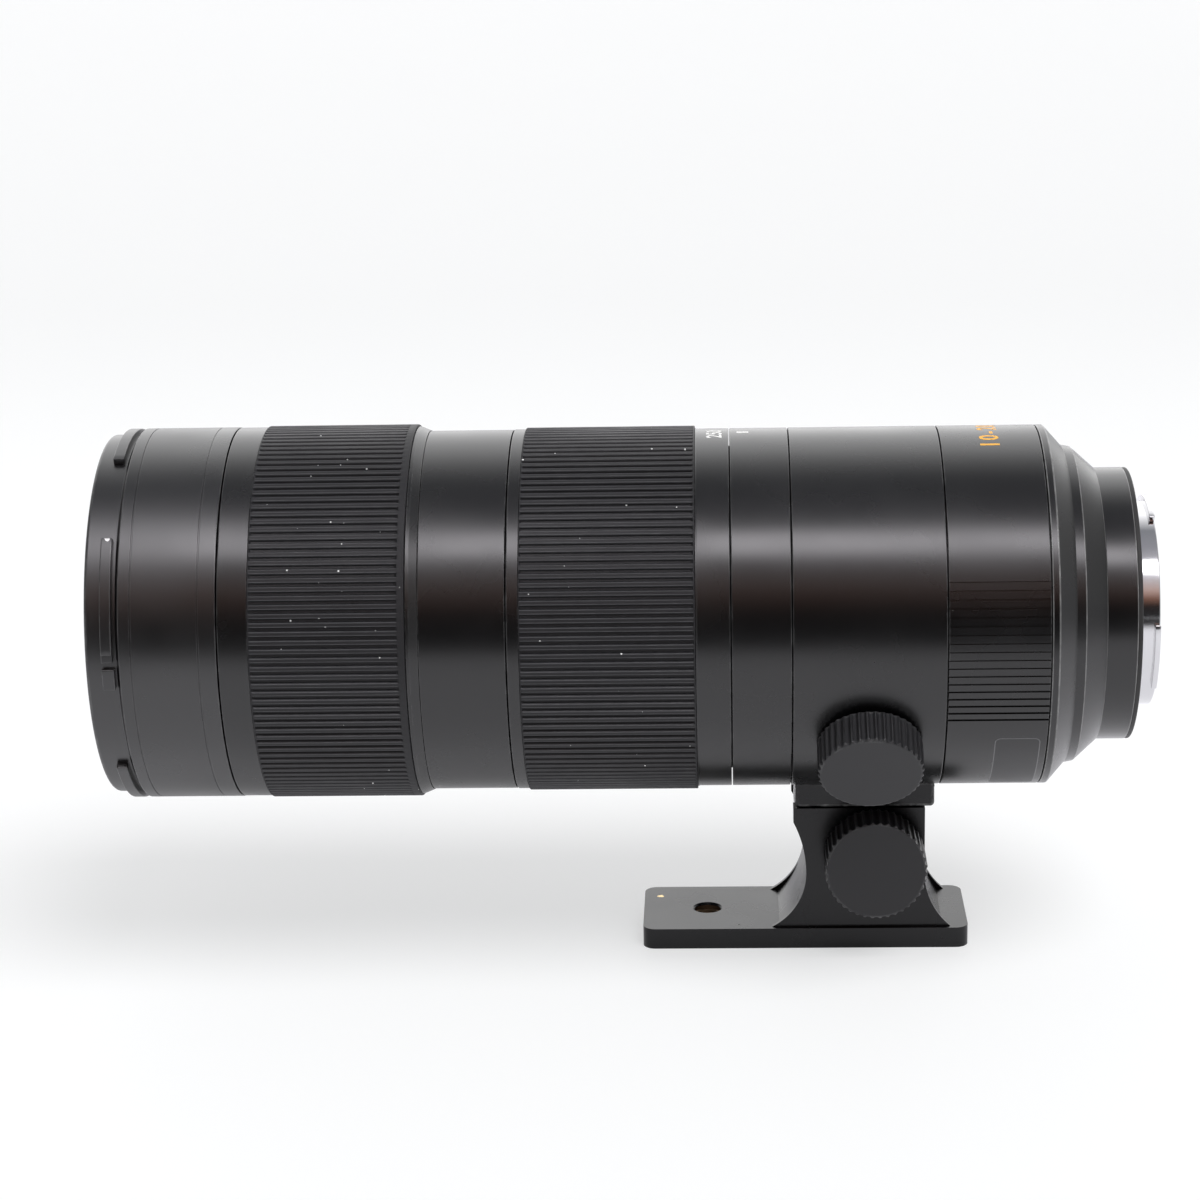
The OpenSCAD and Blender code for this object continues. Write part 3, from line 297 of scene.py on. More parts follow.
def turned_disc(outline: np.ndarray) -> Surface:
    """Open outline of (x, r) from the axis back to the axis, carried around it and closed by a fan at each pole.

    Args:
        outline: Points of (x, r) in clockwise order; the first and the last lie on the axis.

    Returns:
        The closed surface.
    """
    turn = np.linspace(0, 2 * math.pi, AROUND, endpoint=False)
    inner = outline[1:-1]
    rings = around(inner[:, :1] + 0 * turn, inner[:, 1:] + 0 * turn, -turn[None] + 0 * inner[:, :1])
    poles = np.array([[outline[0, 0], 0, 0], [outline[-1, 0], 0, 0]])
    points = np.concatenate([rings.reshape(-1, 3), poles])
    return Surface(points, poled_faces(len(inner), AROUND), np.zeros(len(points)))


def swept_arc(corners: Sequence[Corner], start: float, end: float, round_off: float) -> Surface:
    """Closed outline of (x, r) carried along an arc, with pillowed ends.

    Towards each end the outline shrinks about its middle by q (1 - cos t) while the arc goes on by q sin t, so the
    end is a quarter round of radius q closed by a flat face.

    Args:
        corners: Points of (x, r, corner radius).
        start: Elevation of the lower end, in degrees.
        end: Elevation of the upper end, in degrees.
        round_off: Radius q of the ends.

    Returns:
        The closed surface.
    """
    outline, wear = rounded_loop(corners)
    middle = (outline.max(0) + outline.min(0)) / 2
    half = (outline.max(0) - outline.min(0)) / 2
    turn = np.linspace(0, math.pi / 2, END_STEPS)
    lean = np.degrees(round_off / middle[1])
    lower = start + lean * (1 - np.sin(turn[::-1]))
    upper = end - lean * (1 - np.sin(turn))
    inset = round_off * (1 - np.cos(turn))
    along = np.linspace(start + lean, end - lean, SWEEP_STEPS)[1:-1]
    angles = np.radians(np.concatenate([lower, along, upper]))
    shrink = np.concatenate([inset[::-1], np.zeros(len(along)), inset])
    scale = 1 - np.minimum(shrink[:, None] / half[None], 0.9)
    spots = middle + (outline[None] - middle) * scale[:, None, :]
    points = around(spots[..., 0], spots[..., 1], angles[:, None] + 0 * spots[..., 0])
    ends = np.where(shrink > 0, 1.0, 0.0)
    worn = np.maximum(ends[:, None], wear[None]).ravel()
    return Surface(points.reshape(-1, 3), tube_faces(*spots.shape[:2]), worn)


def rounded_prism(corners: Sequence[Corner], low: float, high: float, round_off: float) -> Surface:
    """Closed outline of (u, v) carried from one level to another, with rounded rims.

    At each rim the outline is moved inwards along its own normals by q (1 - cos t) while the level goes on by
    q sin t. The result has u, v and the level as its three coordinates.

    Args:
        corners: Points of (u, v, corner radius).
        low: Lower level.
        high: Upper level.
        round_off: Radius q of the rims.

    Returns:
        The closed surface, with columns u, v and level.
    """
    outline, wear = rounded_loop(corners)
    ahead = np.roll(outline, -1, axis=0) - np.roll(outline, 1, axis=0)
    inward = np.stack([ahead[:, 1], -ahead[:, 0]], axis=-1)
    inward /= np.linalg.norm(inward, axis=1, keepdims=True)
    turn = np.linspace(0, math.pi / 2, ARC_STEPS)
    rise = round_off * np.sin(turn)
    inset = round_off * (1 - np.cos(turn))
    levels = np.concatenate([low + round_off - rise[::-1], high - round_off + rise])
    insets = np.concatenate([inset[::-1], inset])
    spots = outline[None] + inward[None] * insets[:, None, None]
    points = np.concatenate([spots, np.broadcast_to(levels[:, None, None], spots.shape[:2] + (1,))], axis=-1)
    rim = np.where(insets > 0, 1.0, 0.0)
    worn = np.maximum(rim[:, None], wear[None]).ravel()
    return Surface(points.reshape(-1, 3), tube_faces(*spots.shape[:2]), worn)


def plain_band(node: str, bore: float, radius: float, edge: float) -> Surface:
    """Plain turned ring at a CAD node's place, with softly broken outer edges, that reaches into both joints.

    Args:
        node: CAD node whose place it takes.
        bore: Inner radius.
        radius: Outer radius.
        edge: Radius of its outer edges.

    Returns:
        The closed ring.
    """
    at = place(node)
    front, rear = at.front - JOINT_CLOSE, at.rear + JOINT_CLOSE
    return turned([(front, bore, 0), (front, radius, edge), (rear, radius, edge), (rear, bore, 0)])


def add_to_scene(thing: bpy.types.Object) -> bpy.types.Object:
    """Links an object to the scene and returns it."""
    bpy.context.scene.collection.objects.link(thing)
    return thing


def write_mesh(name: str, surface: Surface) -> bpy.types.Object:
    """Writes a surface into a new object at the origin.

    Args:
        name: Name of the piece.
        surface: Points in millimetres, faces and wear.

    Returns:
        The linked object, smooth shaded with sharp edges where faces meet steeply.
    """
    mesh = bpy.data.meshes.new(name)
    sizes = np.concatenate([np.full(len(rows), rows.shape[1]) for rows in surface.faces])
    corners = np.concatenate([rows.ravel() for rows in surface.faces]).astype(np.int32)
    mesh.vertices.add(len(surface.points))
    mesh.vertices.foreach_set("co", (surface.points * MM).astype(np.float32).ravel())
    mesh.loops.add(len(corners))
    mesh.loops.foreach_set("vertex_index", corners)
    mesh.polygons.add(len(sizes))
    mesh.polygons.foreach_set("loop_start", (np.cumsum(sizes) - sizes).astype(np.int32))
    mesh.update(calc_edges=True)
    # The wear attribute marks edges that finishes paint lighter, as wear and as painted edge highlights.
    wear = mesh.attributes.new("wear", "FLOAT", "POINT")
    wear.data.foreach_set("value", surface.wear.astype(np.float32))
    return link_mesh(name, mesh)


def link_mesh(name: str, mesh: bpy.types.Mesh) -> bpy.types.Object:
    """Links a mesh as a smooth shaded object at the origin.

    Args:
        name: Name of the piece.
        mesh: Its mesh, in metres.

    Returns:
        The linked object.
    """
    mesh.validate()
    mesh.shade_smooth()
    mesh.set_sharp_from_angle(angle=SMOOTH_ANGLE)
    return add_to_scene(bpy.data.objects.new(name, mesh))


def softened_copy(name: str, node: str, width: float) -> bpy.types.Object:
    """Copies a CAD node, merges its loose triangles and rounds its sharp edges with a bevel.

    Args:
        name: Name of the piece.
        node: CAD node to copy.
        width: Width of the bevel, in millimetres.

    Returns:
        The new object.
    """
    merge_step = 0.002 * MM
    source = frame["nodes"][node].data
    spots = np.empty(len(source.vertices) * 3, np.float32)
    source.vertices.foreach_get("co", spots)
    corners = np.empty(len(source.loops), np.int32)
    source.loops.foreach_get("vertex_index", corners)
    keys = np.round(spots.reshape(-1, 3) / merge_step).astype(np.int64)
    _, first, merged = np.unique(keys, axis=0, return_index=True, return_inverse=True)
    points = spots.reshape(-1, 3)[first] / MM
    faces = merged.ravel()[corners].reshape(-1, 3)
    whole = (faces[:, 0] != faces[:, 1]) & (faces[:, 1] != faces[:, 2]) & (faces[:, 2] != faces[:, 0])
    piece = write_mesh(name, Surface(points, [faces[whole]], np.zeros(len(points))))
    bevel = piece.modifiers.new("edges", "BEVEL")
    bevel.width = width * MM
    bevel.segments = 3
    bevel.limit_method = "ANGLE"
    bevel.angle_limit = SMOOTH_ANGLE
    bevel.use_clamp_overlap = True
    bevel.harden_normals = True
    return piece


class NodeTree:
    """Shorthand for placing and joining shader nodes."""

    def __init__(self, tree: bpy.types.NodeTree) -> None:
        """Keeps the tree that the nodes go into."""
        self.tree = tree

    def add(self, kind: str, /, **settings: object) -> bpy.types.Node:
        """Places a node and sets its properties.

        Args:
            kind: Node type, without its ShaderNode prefix.
            **settings: Properties of the node.

        Returns:
            The node.
        """
        node = self.tree.nodes.new(f"ShaderNode{kind}")
        for key, value in settings.items():
            setattr(node, key, value)
        return node

    def feed(self, socket: bpy.types.NodeSocket, value: object) -> None:
        """Joins an output to an input, or sets the input's own value."""
        if isinstance(value, bpy.types.NodeSocket):
            self.tree.links.new(value, socket)
        else:
            socket.default_value = value

    def math(self, operation: str, *values: object, clamp: bool = False) -> bpy.types.NodeSocket:
        """Places a Math node and returns its result."""
        node = self.add("Math", operation=operation, use_clamp=clamp)
        for socket, value in zip(node.inputs, values):
            self.feed(socket, value)
        return node.outputs[0]

    def ramp(self, value: object, low: float, high: float, to_low: float = 0.0,
             to_high: float = 1.0) -> bpy.types.NodeSocket:
        """Maps a value smoothly from one range to another and returns the result."""
        node = self.add("MapRange", interpolation_type="SMOOTHSTEP")
        for socket, setting in zip(node.inputs, (value, low, high, to_low, to_high)):
            self.feed(socket, setting)
        return node.outputs[0]

    def mix(self, share: object, first: object, second: object) -> bpy.types.NodeSocket:
        """Mixes two colours by a share and returns the result."""
        node = self.add("Mix", data_type="RGBA")
        self.feed(node.inputs[0], share)
        self.feed(node.inputs[6], first)
        self.feed(node.inputs[7], second)
        return node.outputs[2]

    def noise(self, spot: object, scale: object, detail: float = 2.0, rough: float = 0.5) -> bpy.types.NodeSocket:
        """Places a noise of a scale per metre and returns its value."""
        node = self.add("TexNoise")
        self.feed(node.inputs["Vector"], spot)
        self.feed(node.inputs["Scale"], scale)
        self.feed(node.inputs["Detail"], detail)
        self.feed(node.inputs["Roughness"], rough)
        return node.outputs[0]


class EffectGroups:
    """Shader groups that more than one finish uses. Scales of a noise are per metre."""

    PATCH_SCALE = 38.0
    BREAK_SCALE = 260.0
    SMALLEST_SPECK = 0.3

    def __init__(self) -> None:
        """Builds each group once."""
        self.specks = self._specks()
        self.grain = self._grain()
        self.edge_wear_and_highlight = self._edge_wear_and_highlight()
        self.lathe = self._lathe()

    @staticmethod
    def _start(name: str, inputs: dict[str, str], outputs: dict[str, str]) -> tuple[NodeTree, dict, dict]:
        """Opens a group with named sockets.

        Args:
            name: Name of the group.
            inputs: Socket type by input name.
            outputs: Socket type by output name.

        Returns:
            The tree, its inputs by name and its output sockets by name.
        """
        group = bpy.data.node_groups.new(name, "ShaderNodeTree")
        for label, kind in inputs.items():
            group.interface.new_socket(label, in_out="INPUT", socket_type=f"NodeSocket{kind}")
        for label, kind in outputs.items():
            group.interface.new_socket(label, in_out="OUTPUT", socket_type=f"NodeSocket{kind}")
        tree = NodeTree(group)
        entry = group.nodes.new("NodeGroupInput")
        leave = group.nodes.new("NodeGroupOutput")
        return tree, {s.name: s for s in entry.outputs if s.name}, {s.name: s for s in leave.inputs if s.name}

    def _specks(self) -> bpy.types.NodeTree:
        """Dust specks: in a share of a pattern's cells, the points nearer to the cell's seed than a size."""
        inputs = {"Spot": "Vector", "Scale": "Float", "Share": "Float", "Size": "Float"}
        tree, given, made = self._start("Dust specks", inputs, {"Mask": "Float"})
        cells = tree.add("TexVoronoi")
        tree.feed(cells.inputs["Vector"], given["Spot"])
        tree.feed(cells.inputs["Scale"], given["Scale"])
        chance = tree.add("SeparateColor")
        tree.feed(chance.inputs[0], cells.outputs["Color"])
        chosen = tree.math("LESS_THAN", chance.outputs[0], given["Share"])
        varied = tree.math("ADD", chance.outputs[1], self.SMALLEST_SPECK)
        reach = tree.math("MULTIPLY", given["Size"], varied)
        near = tree.math("LESS_THAN", cells.outputs["Distance"], reach)
        tree.feed(made["Mask"], tree.math("MULTIPLY", chosen, near))
        return tree.tree

    def _grain(self) -> bpy.types.NodeTree:
        """Grain: a fine noise for the height and a broad, slow noise for patches of handling."""
        tree, given, made = self._start("Surface grain", {"Spot": "Vector", "Scale": "Float"},
                                        {"Height": "Float", "Patches": "Float"})
        tree.feed(made["Height"], tree.noise(given["Spot"], given["Scale"], 3.0, 0.6))
        tree.feed(made["Patches"], tree.noise(given["Spot"], self.PATCH_SCALE, 4.0, 0.55))
        return tree.tree

    def _edge_wear_and_highlight(self) -> bpy.types.NodeTree:
        """Edge wear and painted edge highlights: the piece's own wear attribute, broken up by a share of a noise.
        """
        tree, given, made = self._start("Edge wear and painted edge highlights", {"Spot": "Vector", "Amount": "Float", "Break": "Float"},
                                        {"Mask": "Float"})
        wear = tree.add("Attribute", attribute_name="wear")
        lost = tree.ramp(tree.noise(given["Spot"], self.BREAK_SCALE, 4.0, 0.65), 0.35, 0.75, 1.0, 0.0)
        broken = tree.math("SUBTRACT", 1.0, tree.math("MULTIPLY", lost, given["Break"]))
        edge_wear_and_highlight = tree.math("MULTIPLY", wear.outputs["Fac"], broken)
        tree.feed(made["Mask"], tree.math("MULTIPLY", edge_wear_and_highlight, given["Amount"], clamp=True))
        return tree.tree

    def _lathe(self) -> bpy.types.NodeTree:
        """Lathe marks: a noise of the place along X and the distance from the axis, so it runs around the axis."""
        tree, given, made = self._start("Lathe marks", {"Spot": "Vector", "Scale": "Float"}, {"Height": "Float"})
        parts = tree.add("SeparateXYZ")
        tree.feed(parts.inputs[0], given["Spot"])
        square = tree.math("ADD", tree.math("MULTIPLY", parts.outputs[1], parts.outputs[1]),
                           tree.math("MULTIPLY", parts.outputs[2], parts.outputs[2]))
        line = tree.add("CombineXYZ")
        tree.feed(line.inputs[0], parts.outputs[0])
        tree.feed(line.inputs[1], tree.math("SQRT", square))
        tree.feed(made["Height"], tree.noise(line.outputs[0], given["Scale"], 3.0, 0.6))
        return tree.tree


@dataclass(frozen=True)
class Finish:
    """A finish: colour, gloss and the strength of its surface effects."""

    name: str
    colour: tuple[float, float, float]
    roughness: float
    patch_roughness: float = 0.05
    metallic: float = 0.0
    grain_scale: float = 2600.0
    grain_height: float = 0.004
    lathe_height: float = 0.0
    lathe_scale: float = 3400.0
    dust_share: float = 0.0
    dust_size: float = 0.12
    dust_scale: float = 260.0
    dust_colour: tuple[float, float, float] = (0.42, 0.42, 0.41)
    dust_roughness: float = 0.9
    # Edge colour over the wear attribute: wear on the barrels, painted edge highlights on the cone and the foot,
    # partly each on the knobs and the grip rubber.
    edge_wear_and_highlight_amount: float = 0.0
    edge_wear_and_highlight_colour: tuple[float, float, float] = (0.09, 0.09, 0.092)
    edge_wear_and_highlight_break: float = 1.0
    patch_share: float = 0.25
    specular: float = 0.5

    def build(self, groups: EffectGroups) -> bpy.types.Material:
        """Builds the material.

        Args:
            groups: The shared shader groups.

        Returns:
            The material.
        """
        material, tree, shader, spot = start_material(self.name)
        tree.feed(shader.inputs["Metallic"], self.metallic)
        tree.feed(shader.inputs["Specular IOR Level"], self.specular)
        grain = place_group(tree, groups.grain, Spot=spot, Scale=self.grain_scale)
        base = (*self.colour, 1.0)
        lifted = (*(min(1.0, c * (1 + self.patch_share)) for c in self.colour), 1.0)
        colour = tree.mix(tree.ramp(grain["Patches"], 0.3, 0.7), base, lifted)
        rough = tree.ramp(grain["Patches"], 0.25, 0.75, self.roughness - self.patch_roughness,
                          self.roughness + self.patch_roughness)
        # Lighter edges: wear on some finishes, painted edge highlights on others.
        if self.edge_wear_and_highlight_amount > 0:
            edge_wear_and_highlight_group = place_group(tree, groups.edge_wear_and_highlight, Spot=spot, Amount=self.edge_wear_and_highlight_amount, Break=self.edge_wear_and_highlight_break)
            colour = tree.mix(edge_wear_and_highlight_group["Mask"], colour, (*self.edge_wear_and_highlight_colour, 1.0))
        if self.dust_share > 0:
            dust = place_group(tree, groups.specks, Spot=spot, Scale=self.dust_scale, Share=self.dust_share,
                               Size=self.dust_size)
            colour = tree.mix(dust["Mask"], colour, (*self.dust_colour, 1.0))
            rough = tree.math("MAXIMUM", rough, tree.math("MULTIPLY", dust["Mask"], self.dust_roughness))
        height = tree.math("MULTIPLY", grain["Height"], self.grain_height)
        if self.lathe_height > 0:
            lathe = place_group(tree, groups.lathe, Spot=spot, Scale=self.lathe_scale)
            height = tree.math("ADD", height, tree.math("MULTIPLY", lathe["Height"], self.lathe_height))
        tree.feed(shader.inputs["Base Color"], colour)
        tree.feed(shader.inputs["Roughness"], rough)
        tree.feed(shader.inputs["Normal"], bumped(tree, height))
        return material


@dataclass(frozen=True)
class Glass:
    """Coated optical glass: clear, slightly tinted, with faint smears on it."""

    name: str
    tint: tuple[float, float, float]
    ior: float
    coat: float = 0.4
    coat_tint: tuple[float, float, float] = (0.55, 0.45, 0.8)
    smear_scale: float = 900.0
    smear_share: float = 0.96
    smear_roughness: float = 0.03

    def build(self, groups: EffectGroups) -> bpy.types.Material:
        """Builds the material from the shared groups and returns it."""
        material, tree, shader, spot = start_material(self.name)
        tree.feed(shader.inputs["Metallic"], 0.0)
        tree.feed(shader.inputs["Transmission Weight"], 1.0)
        tree.feed(shader.inputs["IOR"], self.ior)
        tree.feed(shader.inputs["Coat Weight"], self.coat)
        tree.feed(shader.inputs["Coat Tint"], (*self.coat_tint, 1.0))
        grain = place_group(tree, groups.grain, Spot=spot, Scale=self.smear_scale)
        clear = (*self.tint, 1.0)
        smeared = (*(c * self.smear_share for c in self.tint), 1.0)
        tree.feed(shader.inputs["Base Color"], tree.mix(grain["Patches"], clear, smeared))
        tree.feed(shader.inputs["Roughness"], tree.ramp(grain["Patches"], 0.45, 0.8, 0.0, self.smear_roughness))
        return material


def start_material(name: str) -> tuple[bpy.types.Material, NodeTree, bpy.types.Node, bpy.types.NodeSocket]:
    """Opens a material with one Principled shader.

    Args:
        name: Name of the material.

    Returns:
        The material, its tree, its shader and its object coordinates.
    """
    material = bpy.data.materials.new(name)
    material.use_nodes = True
    tree = NodeTree(material.node_tree)
    shader = material.node_tree.nodes["Principled BSDF"]
    return material, tree, shader, tree.add("TexCoord").outputs["Object"]


def place_group(tree: NodeTree, group: bpy.types.NodeTree, **values: object) -> dict[str, bpy.types.NodeSocket]:
    """Places a shared group in a material.

    Args:
        tree: Tree of the material.
        group: The shared group.
        **values: Inputs by name.

    Returns:
        Outputs by name.
    """
    node = tree.add("Group")
    node.node_tree = group
    for label, value in values.items():
        tree.feed(node.inputs[label], value)
    return {socket.name: socket for socket in node.outputs}


def bumped(tree: NodeTree, height: bpy.types.NodeSocket) -> bpy.types.NodeSocket:
    """Turns a height in millimetres into a normal.

    Args:
        tree: Tree of the material.
        height: Height socket.

    Returns:
        The bumped normal.
    """
    bump = tree.add("Bump")
    tree.feed(bump.inputs["Distance"], MM)
    tree.feed(bump.inputs["Height"], height)
    return bump.outputs[0]


@dataclass(frozen=True)
class ChippedPaint:
    """Paint with one chip, where the metal shows through."""

    paint: Finish
    chip_place: tuple[float, float, float]
    chip_size: float
    metal: tuple[float, float, float]
    ragged_scale: float = 1500.0

    def build(self, groups: EffectGroups) -> bpy.types.Material:
        """Builds the paint and lays the chip over it: the points nearer to its middle than a ragged size.

        Args:
            groups: The shared shader groups.

        Returns:
            The material.
        """
        material = self.paint.build(groups)
        tree = NodeTree(material.node_tree)
        shader = material.node_tree.nodes["Principled BSDF"]
        spot = tree.add("TexCoord").outputs["Object"]
        away = tree.add("VectorMath", operation="DISTANCE")
        tree.feed(away.inputs[0], spot)
        tree.feed(away.inputs[1], tuple(value * MM for value in self.chip_place))
        ragged = tree.math("MULTIPLY", tree.noise(spot, self.ragged_scale, 3.0, 0.6), 2 * self.chip_size * MM)
        chip = tree.math("LESS_THAN", away.outputs["Value"], ragged)
        old = shader.inputs["Base Color"].links[0].from_socket
        tree.feed(shader.inputs["Base Color"], tree.mix(chip, old, (*self.metal, 1.0)))
        tree.feed(shader.inputs["Metallic"], chip)
        return material


class Paintbox:
    """All finishes of the lens, by slot and by name."""

    def __init__(self) -> None:
        """Builds the shared groups and each material once."""
        groups = EffectGroups()
        satin = Finish("satin black barrel", (0.0016, 0.0016, 0.0018), 0.27, patch_roughness=0.03,
                       grain_scale=1400.0, grain_height=0.0015, dust_share=0.25, dust_size=0.03,
                       dust_scale=160.0, dust_colour=(0.7, 0.7, 0.7), edge_wear_and_highlight_amount=0.5, lathe_height=0.0012,
                       specular=0.6)
        self.barrel = satin.build(groups)
        matt = replace(satin, name="matt black front barrel", colour=(0.002, 0.002, 0.0023), roughness=0.3,
                       patch_roughness=0.04, dust_share=0.12, dust_colour=Finish.dust_colour,
                       lathe_height=0.0016, specular=0.8)
        self.front = ChippedPaint(matt, (-233.2, -34.35, 27.2), 0.55, (0.62, 0.61, 0.6)).build(groups)
        # The knob's cap rim and flute ridges are painted lighter: partly wear, partly painted highlight.
        self.knob = Finish("matt black knob with wear and painted highlights", (0.008, 0.008, 0.009), 0.45, edge_wear_and_highlight_amount=0.8, dust_share=0.01,
                           dust_size=0.06, dust_scale=140.0, specular=0.4).build(groups)
        # Painted edge highlights: this paint's edges are painted a lighter grey.
        paint = Finish("black foot paint with painted edge highlights", (0.003, 0.0031, 0.0035), 0.25, patch_roughness=0.05, edge_wear_and_highlight_amount=0.9,
                       edge_wear_and_highlight_colour=(0.16, 0.16, 0.16), dust_share=0.02, dust_size=0.05, dust_scale=120.0,
                       specular=0.32)
        self.foot = ChippedPaint(paint, (-110.7, 7.8, -76.1), 0.75, (0.55, 0.42, 0.2)).build(groups)
        # The rib shoulders are painted lighter: partly worn rubber, partly painted highlight.
        self.rubber = Finish("ribbed grip rubber with wear and painted highlights", (0.0088, 0.0088, 0.01), 0.55, patch_roughness=0.07,
                             grain_scale=1900.0, grain_height=0.012, dust_share=0.9, dust_size=0.047,
                             dust_scale=260.0, dust_colour=(0.8, 0.8, 0.8), edge_wear_and_highlight_amount=0.9, edge_wear_and_highlight_break=0.3,
                             edge_wear_and_highlight_colour=(0.13, 0.13, 0.138), specular=0.34).build(groups)
        self.seal = Finish("mount seal rubber", (0.012, 0.012, 0.012), 0.6, grain_height=0.01).build(groups)
        self.chrome = Finish("bright chrome", (0.56, 0.56, 0.57), 0.1, patch_roughness=0.04, metallic=1.0,
                             lathe_height=0.0025, patch_share=0.05).build(groups)
        self.white_ink = Finish("white engraving paint", (0.9, 0.9, 0.88), 0.5).build(groups)
        self.orange_ink = Finish("orange engraving paint", (0.95, 0.43, 0.04), 0.5).build(groups)
        self.label = Finish("bare label film", (0.012, 0.012, 0.013), 0.4, dust_share=0.02, dust_size=0.06,
                            dust_scale=200.0).build(groups)
        self.label_edge = Finish("label edge", (0.12, 0.12, 0.125), 0.4).build(groups)
        inner = Finish("matt black inner metal", (0.02, 0.02, 0.021), 0.5, lathe_height=0.004).build(groups)
        brass = Finish("turned brass", (0.62, 0.44, 0.16), 0.28, metallic=1.0, lathe_height=0.003).build(groups)
        self.thread = Finish("worn thread metal", (0.16, 0.115, 0.075), 0.35, metallic=1.0).build(groups)
        # Painted edge highlights: the cone's step edges are painted lighter than the barrel's.
        self.cone = replace(satin, name="satin black cone with painted edge highlights", dust_colour=Finish.dust_colour, edge_wear_and_highlight_amount=0.9,
                            edge_wear_and_highlight_break=0.5, edge_wear_and_highlight_colour=(0.22, 0.22, 0.22)).build(groups)
        self.by_slot = {
            Slot.BLACK_METAL: self.barrel, Slot.FOOT_METAL: self.foot, Slot.KNOB_METAL: self.knob,
            Slot.INNER_METAL: inner, Slot.GRIP_RUBBER: self.rubber, Slot.SEAL_RUBBER: self.seal,
            Slot.CHROME: self.chrome, Slot.BRASS: brass,
            Slot.STEEL: Finish("screw steel", (0.5, 0.5, 0.51), 0.25, metallic=1.0,
                               lathe_height=0.003).build(groups),
            Slot.CONTACT_GOLD: Finish("contact gold", (0.83, 0.6, 0.22), 0.2, metallic=1.0).build(groups),
            Slot.LENS_GLASS: Glass("coated lens glass", (0.96, 0.97, 0.99), 1.52).build(groups),
            Slot.BLACK_PLASTIC: Finish("moulded black plastic", (0.018, 0.018, 0.019), 0.5,
                                       grain_height=0.01).build(groups),
            Slot.BLADE_BLACK: Finish("blackened blade steel", (0.025, 0.025, 0.027), 0.4).build(groups),
            Slot.BOARD_GREEN: Finish("solder mask green", (0.012, 0.09, 0.045), 0.35).build(groups),
            Slot.LINER_WHITE: Finish("white liner plastic", (0.7, 0.7, 0.66), 0.45).build(groups),
            Slot.PAD_FIBRE: Finish("brake pad fibre", (0.16, 0.1, 0.06), 0.8, grain_height=0.03).build(groups),
        }

    def dress_nodes(self) -> None:
        """Gives every carried-over CAD node the finish of its slot in the record."""
        slots = {part["node"]: Slot(part["material_slot"]) for part in frame["record"]["subparts"]}
        for name, node in frame["nodes"].items():
            node.data.materials.clear()
            node.data.materials.append(self.by_slot[slots[name]])


class Workshop:
    """Dresses finished pieces and puts them on their bodies."""

    def __init__(self) -> None:
        """Builds the finishes and dresses the CAD nodes."""
        self.paints = Paintbox()
        self.paints.dress_nodes()

    def fit(self, piece: bpy.types.Object, body: Body, paint: bpy.types.Material,
            replaced: Sequence[str] = ()) -> None:
        """Dresses a piece, puts it on its body and hides the nodes that it stands for.

        Args:
            piece: The new object.
            body: Body that it rides on.
            paint: Its material.
            replaced: CAD nodes that it stands for.
        """
        piece.data.materials.append(paint)
        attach(piece, body.value)
        if replaced:
            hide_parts(*replaced)
        LOG.info("%s rides on %s with %d faces", piece.name, body.value, len(piece.data.polygons))

    def make(self, name: str, surface: Surface, body: Body, paint: bpy.types.Material,
             replaced: Sequence[str] = ()) -> None:
        """Writes a surface as a new piece and fits it, with the arguments of fit."""
        self.fit(write_mesh(name, surface), body, paint, replaced)


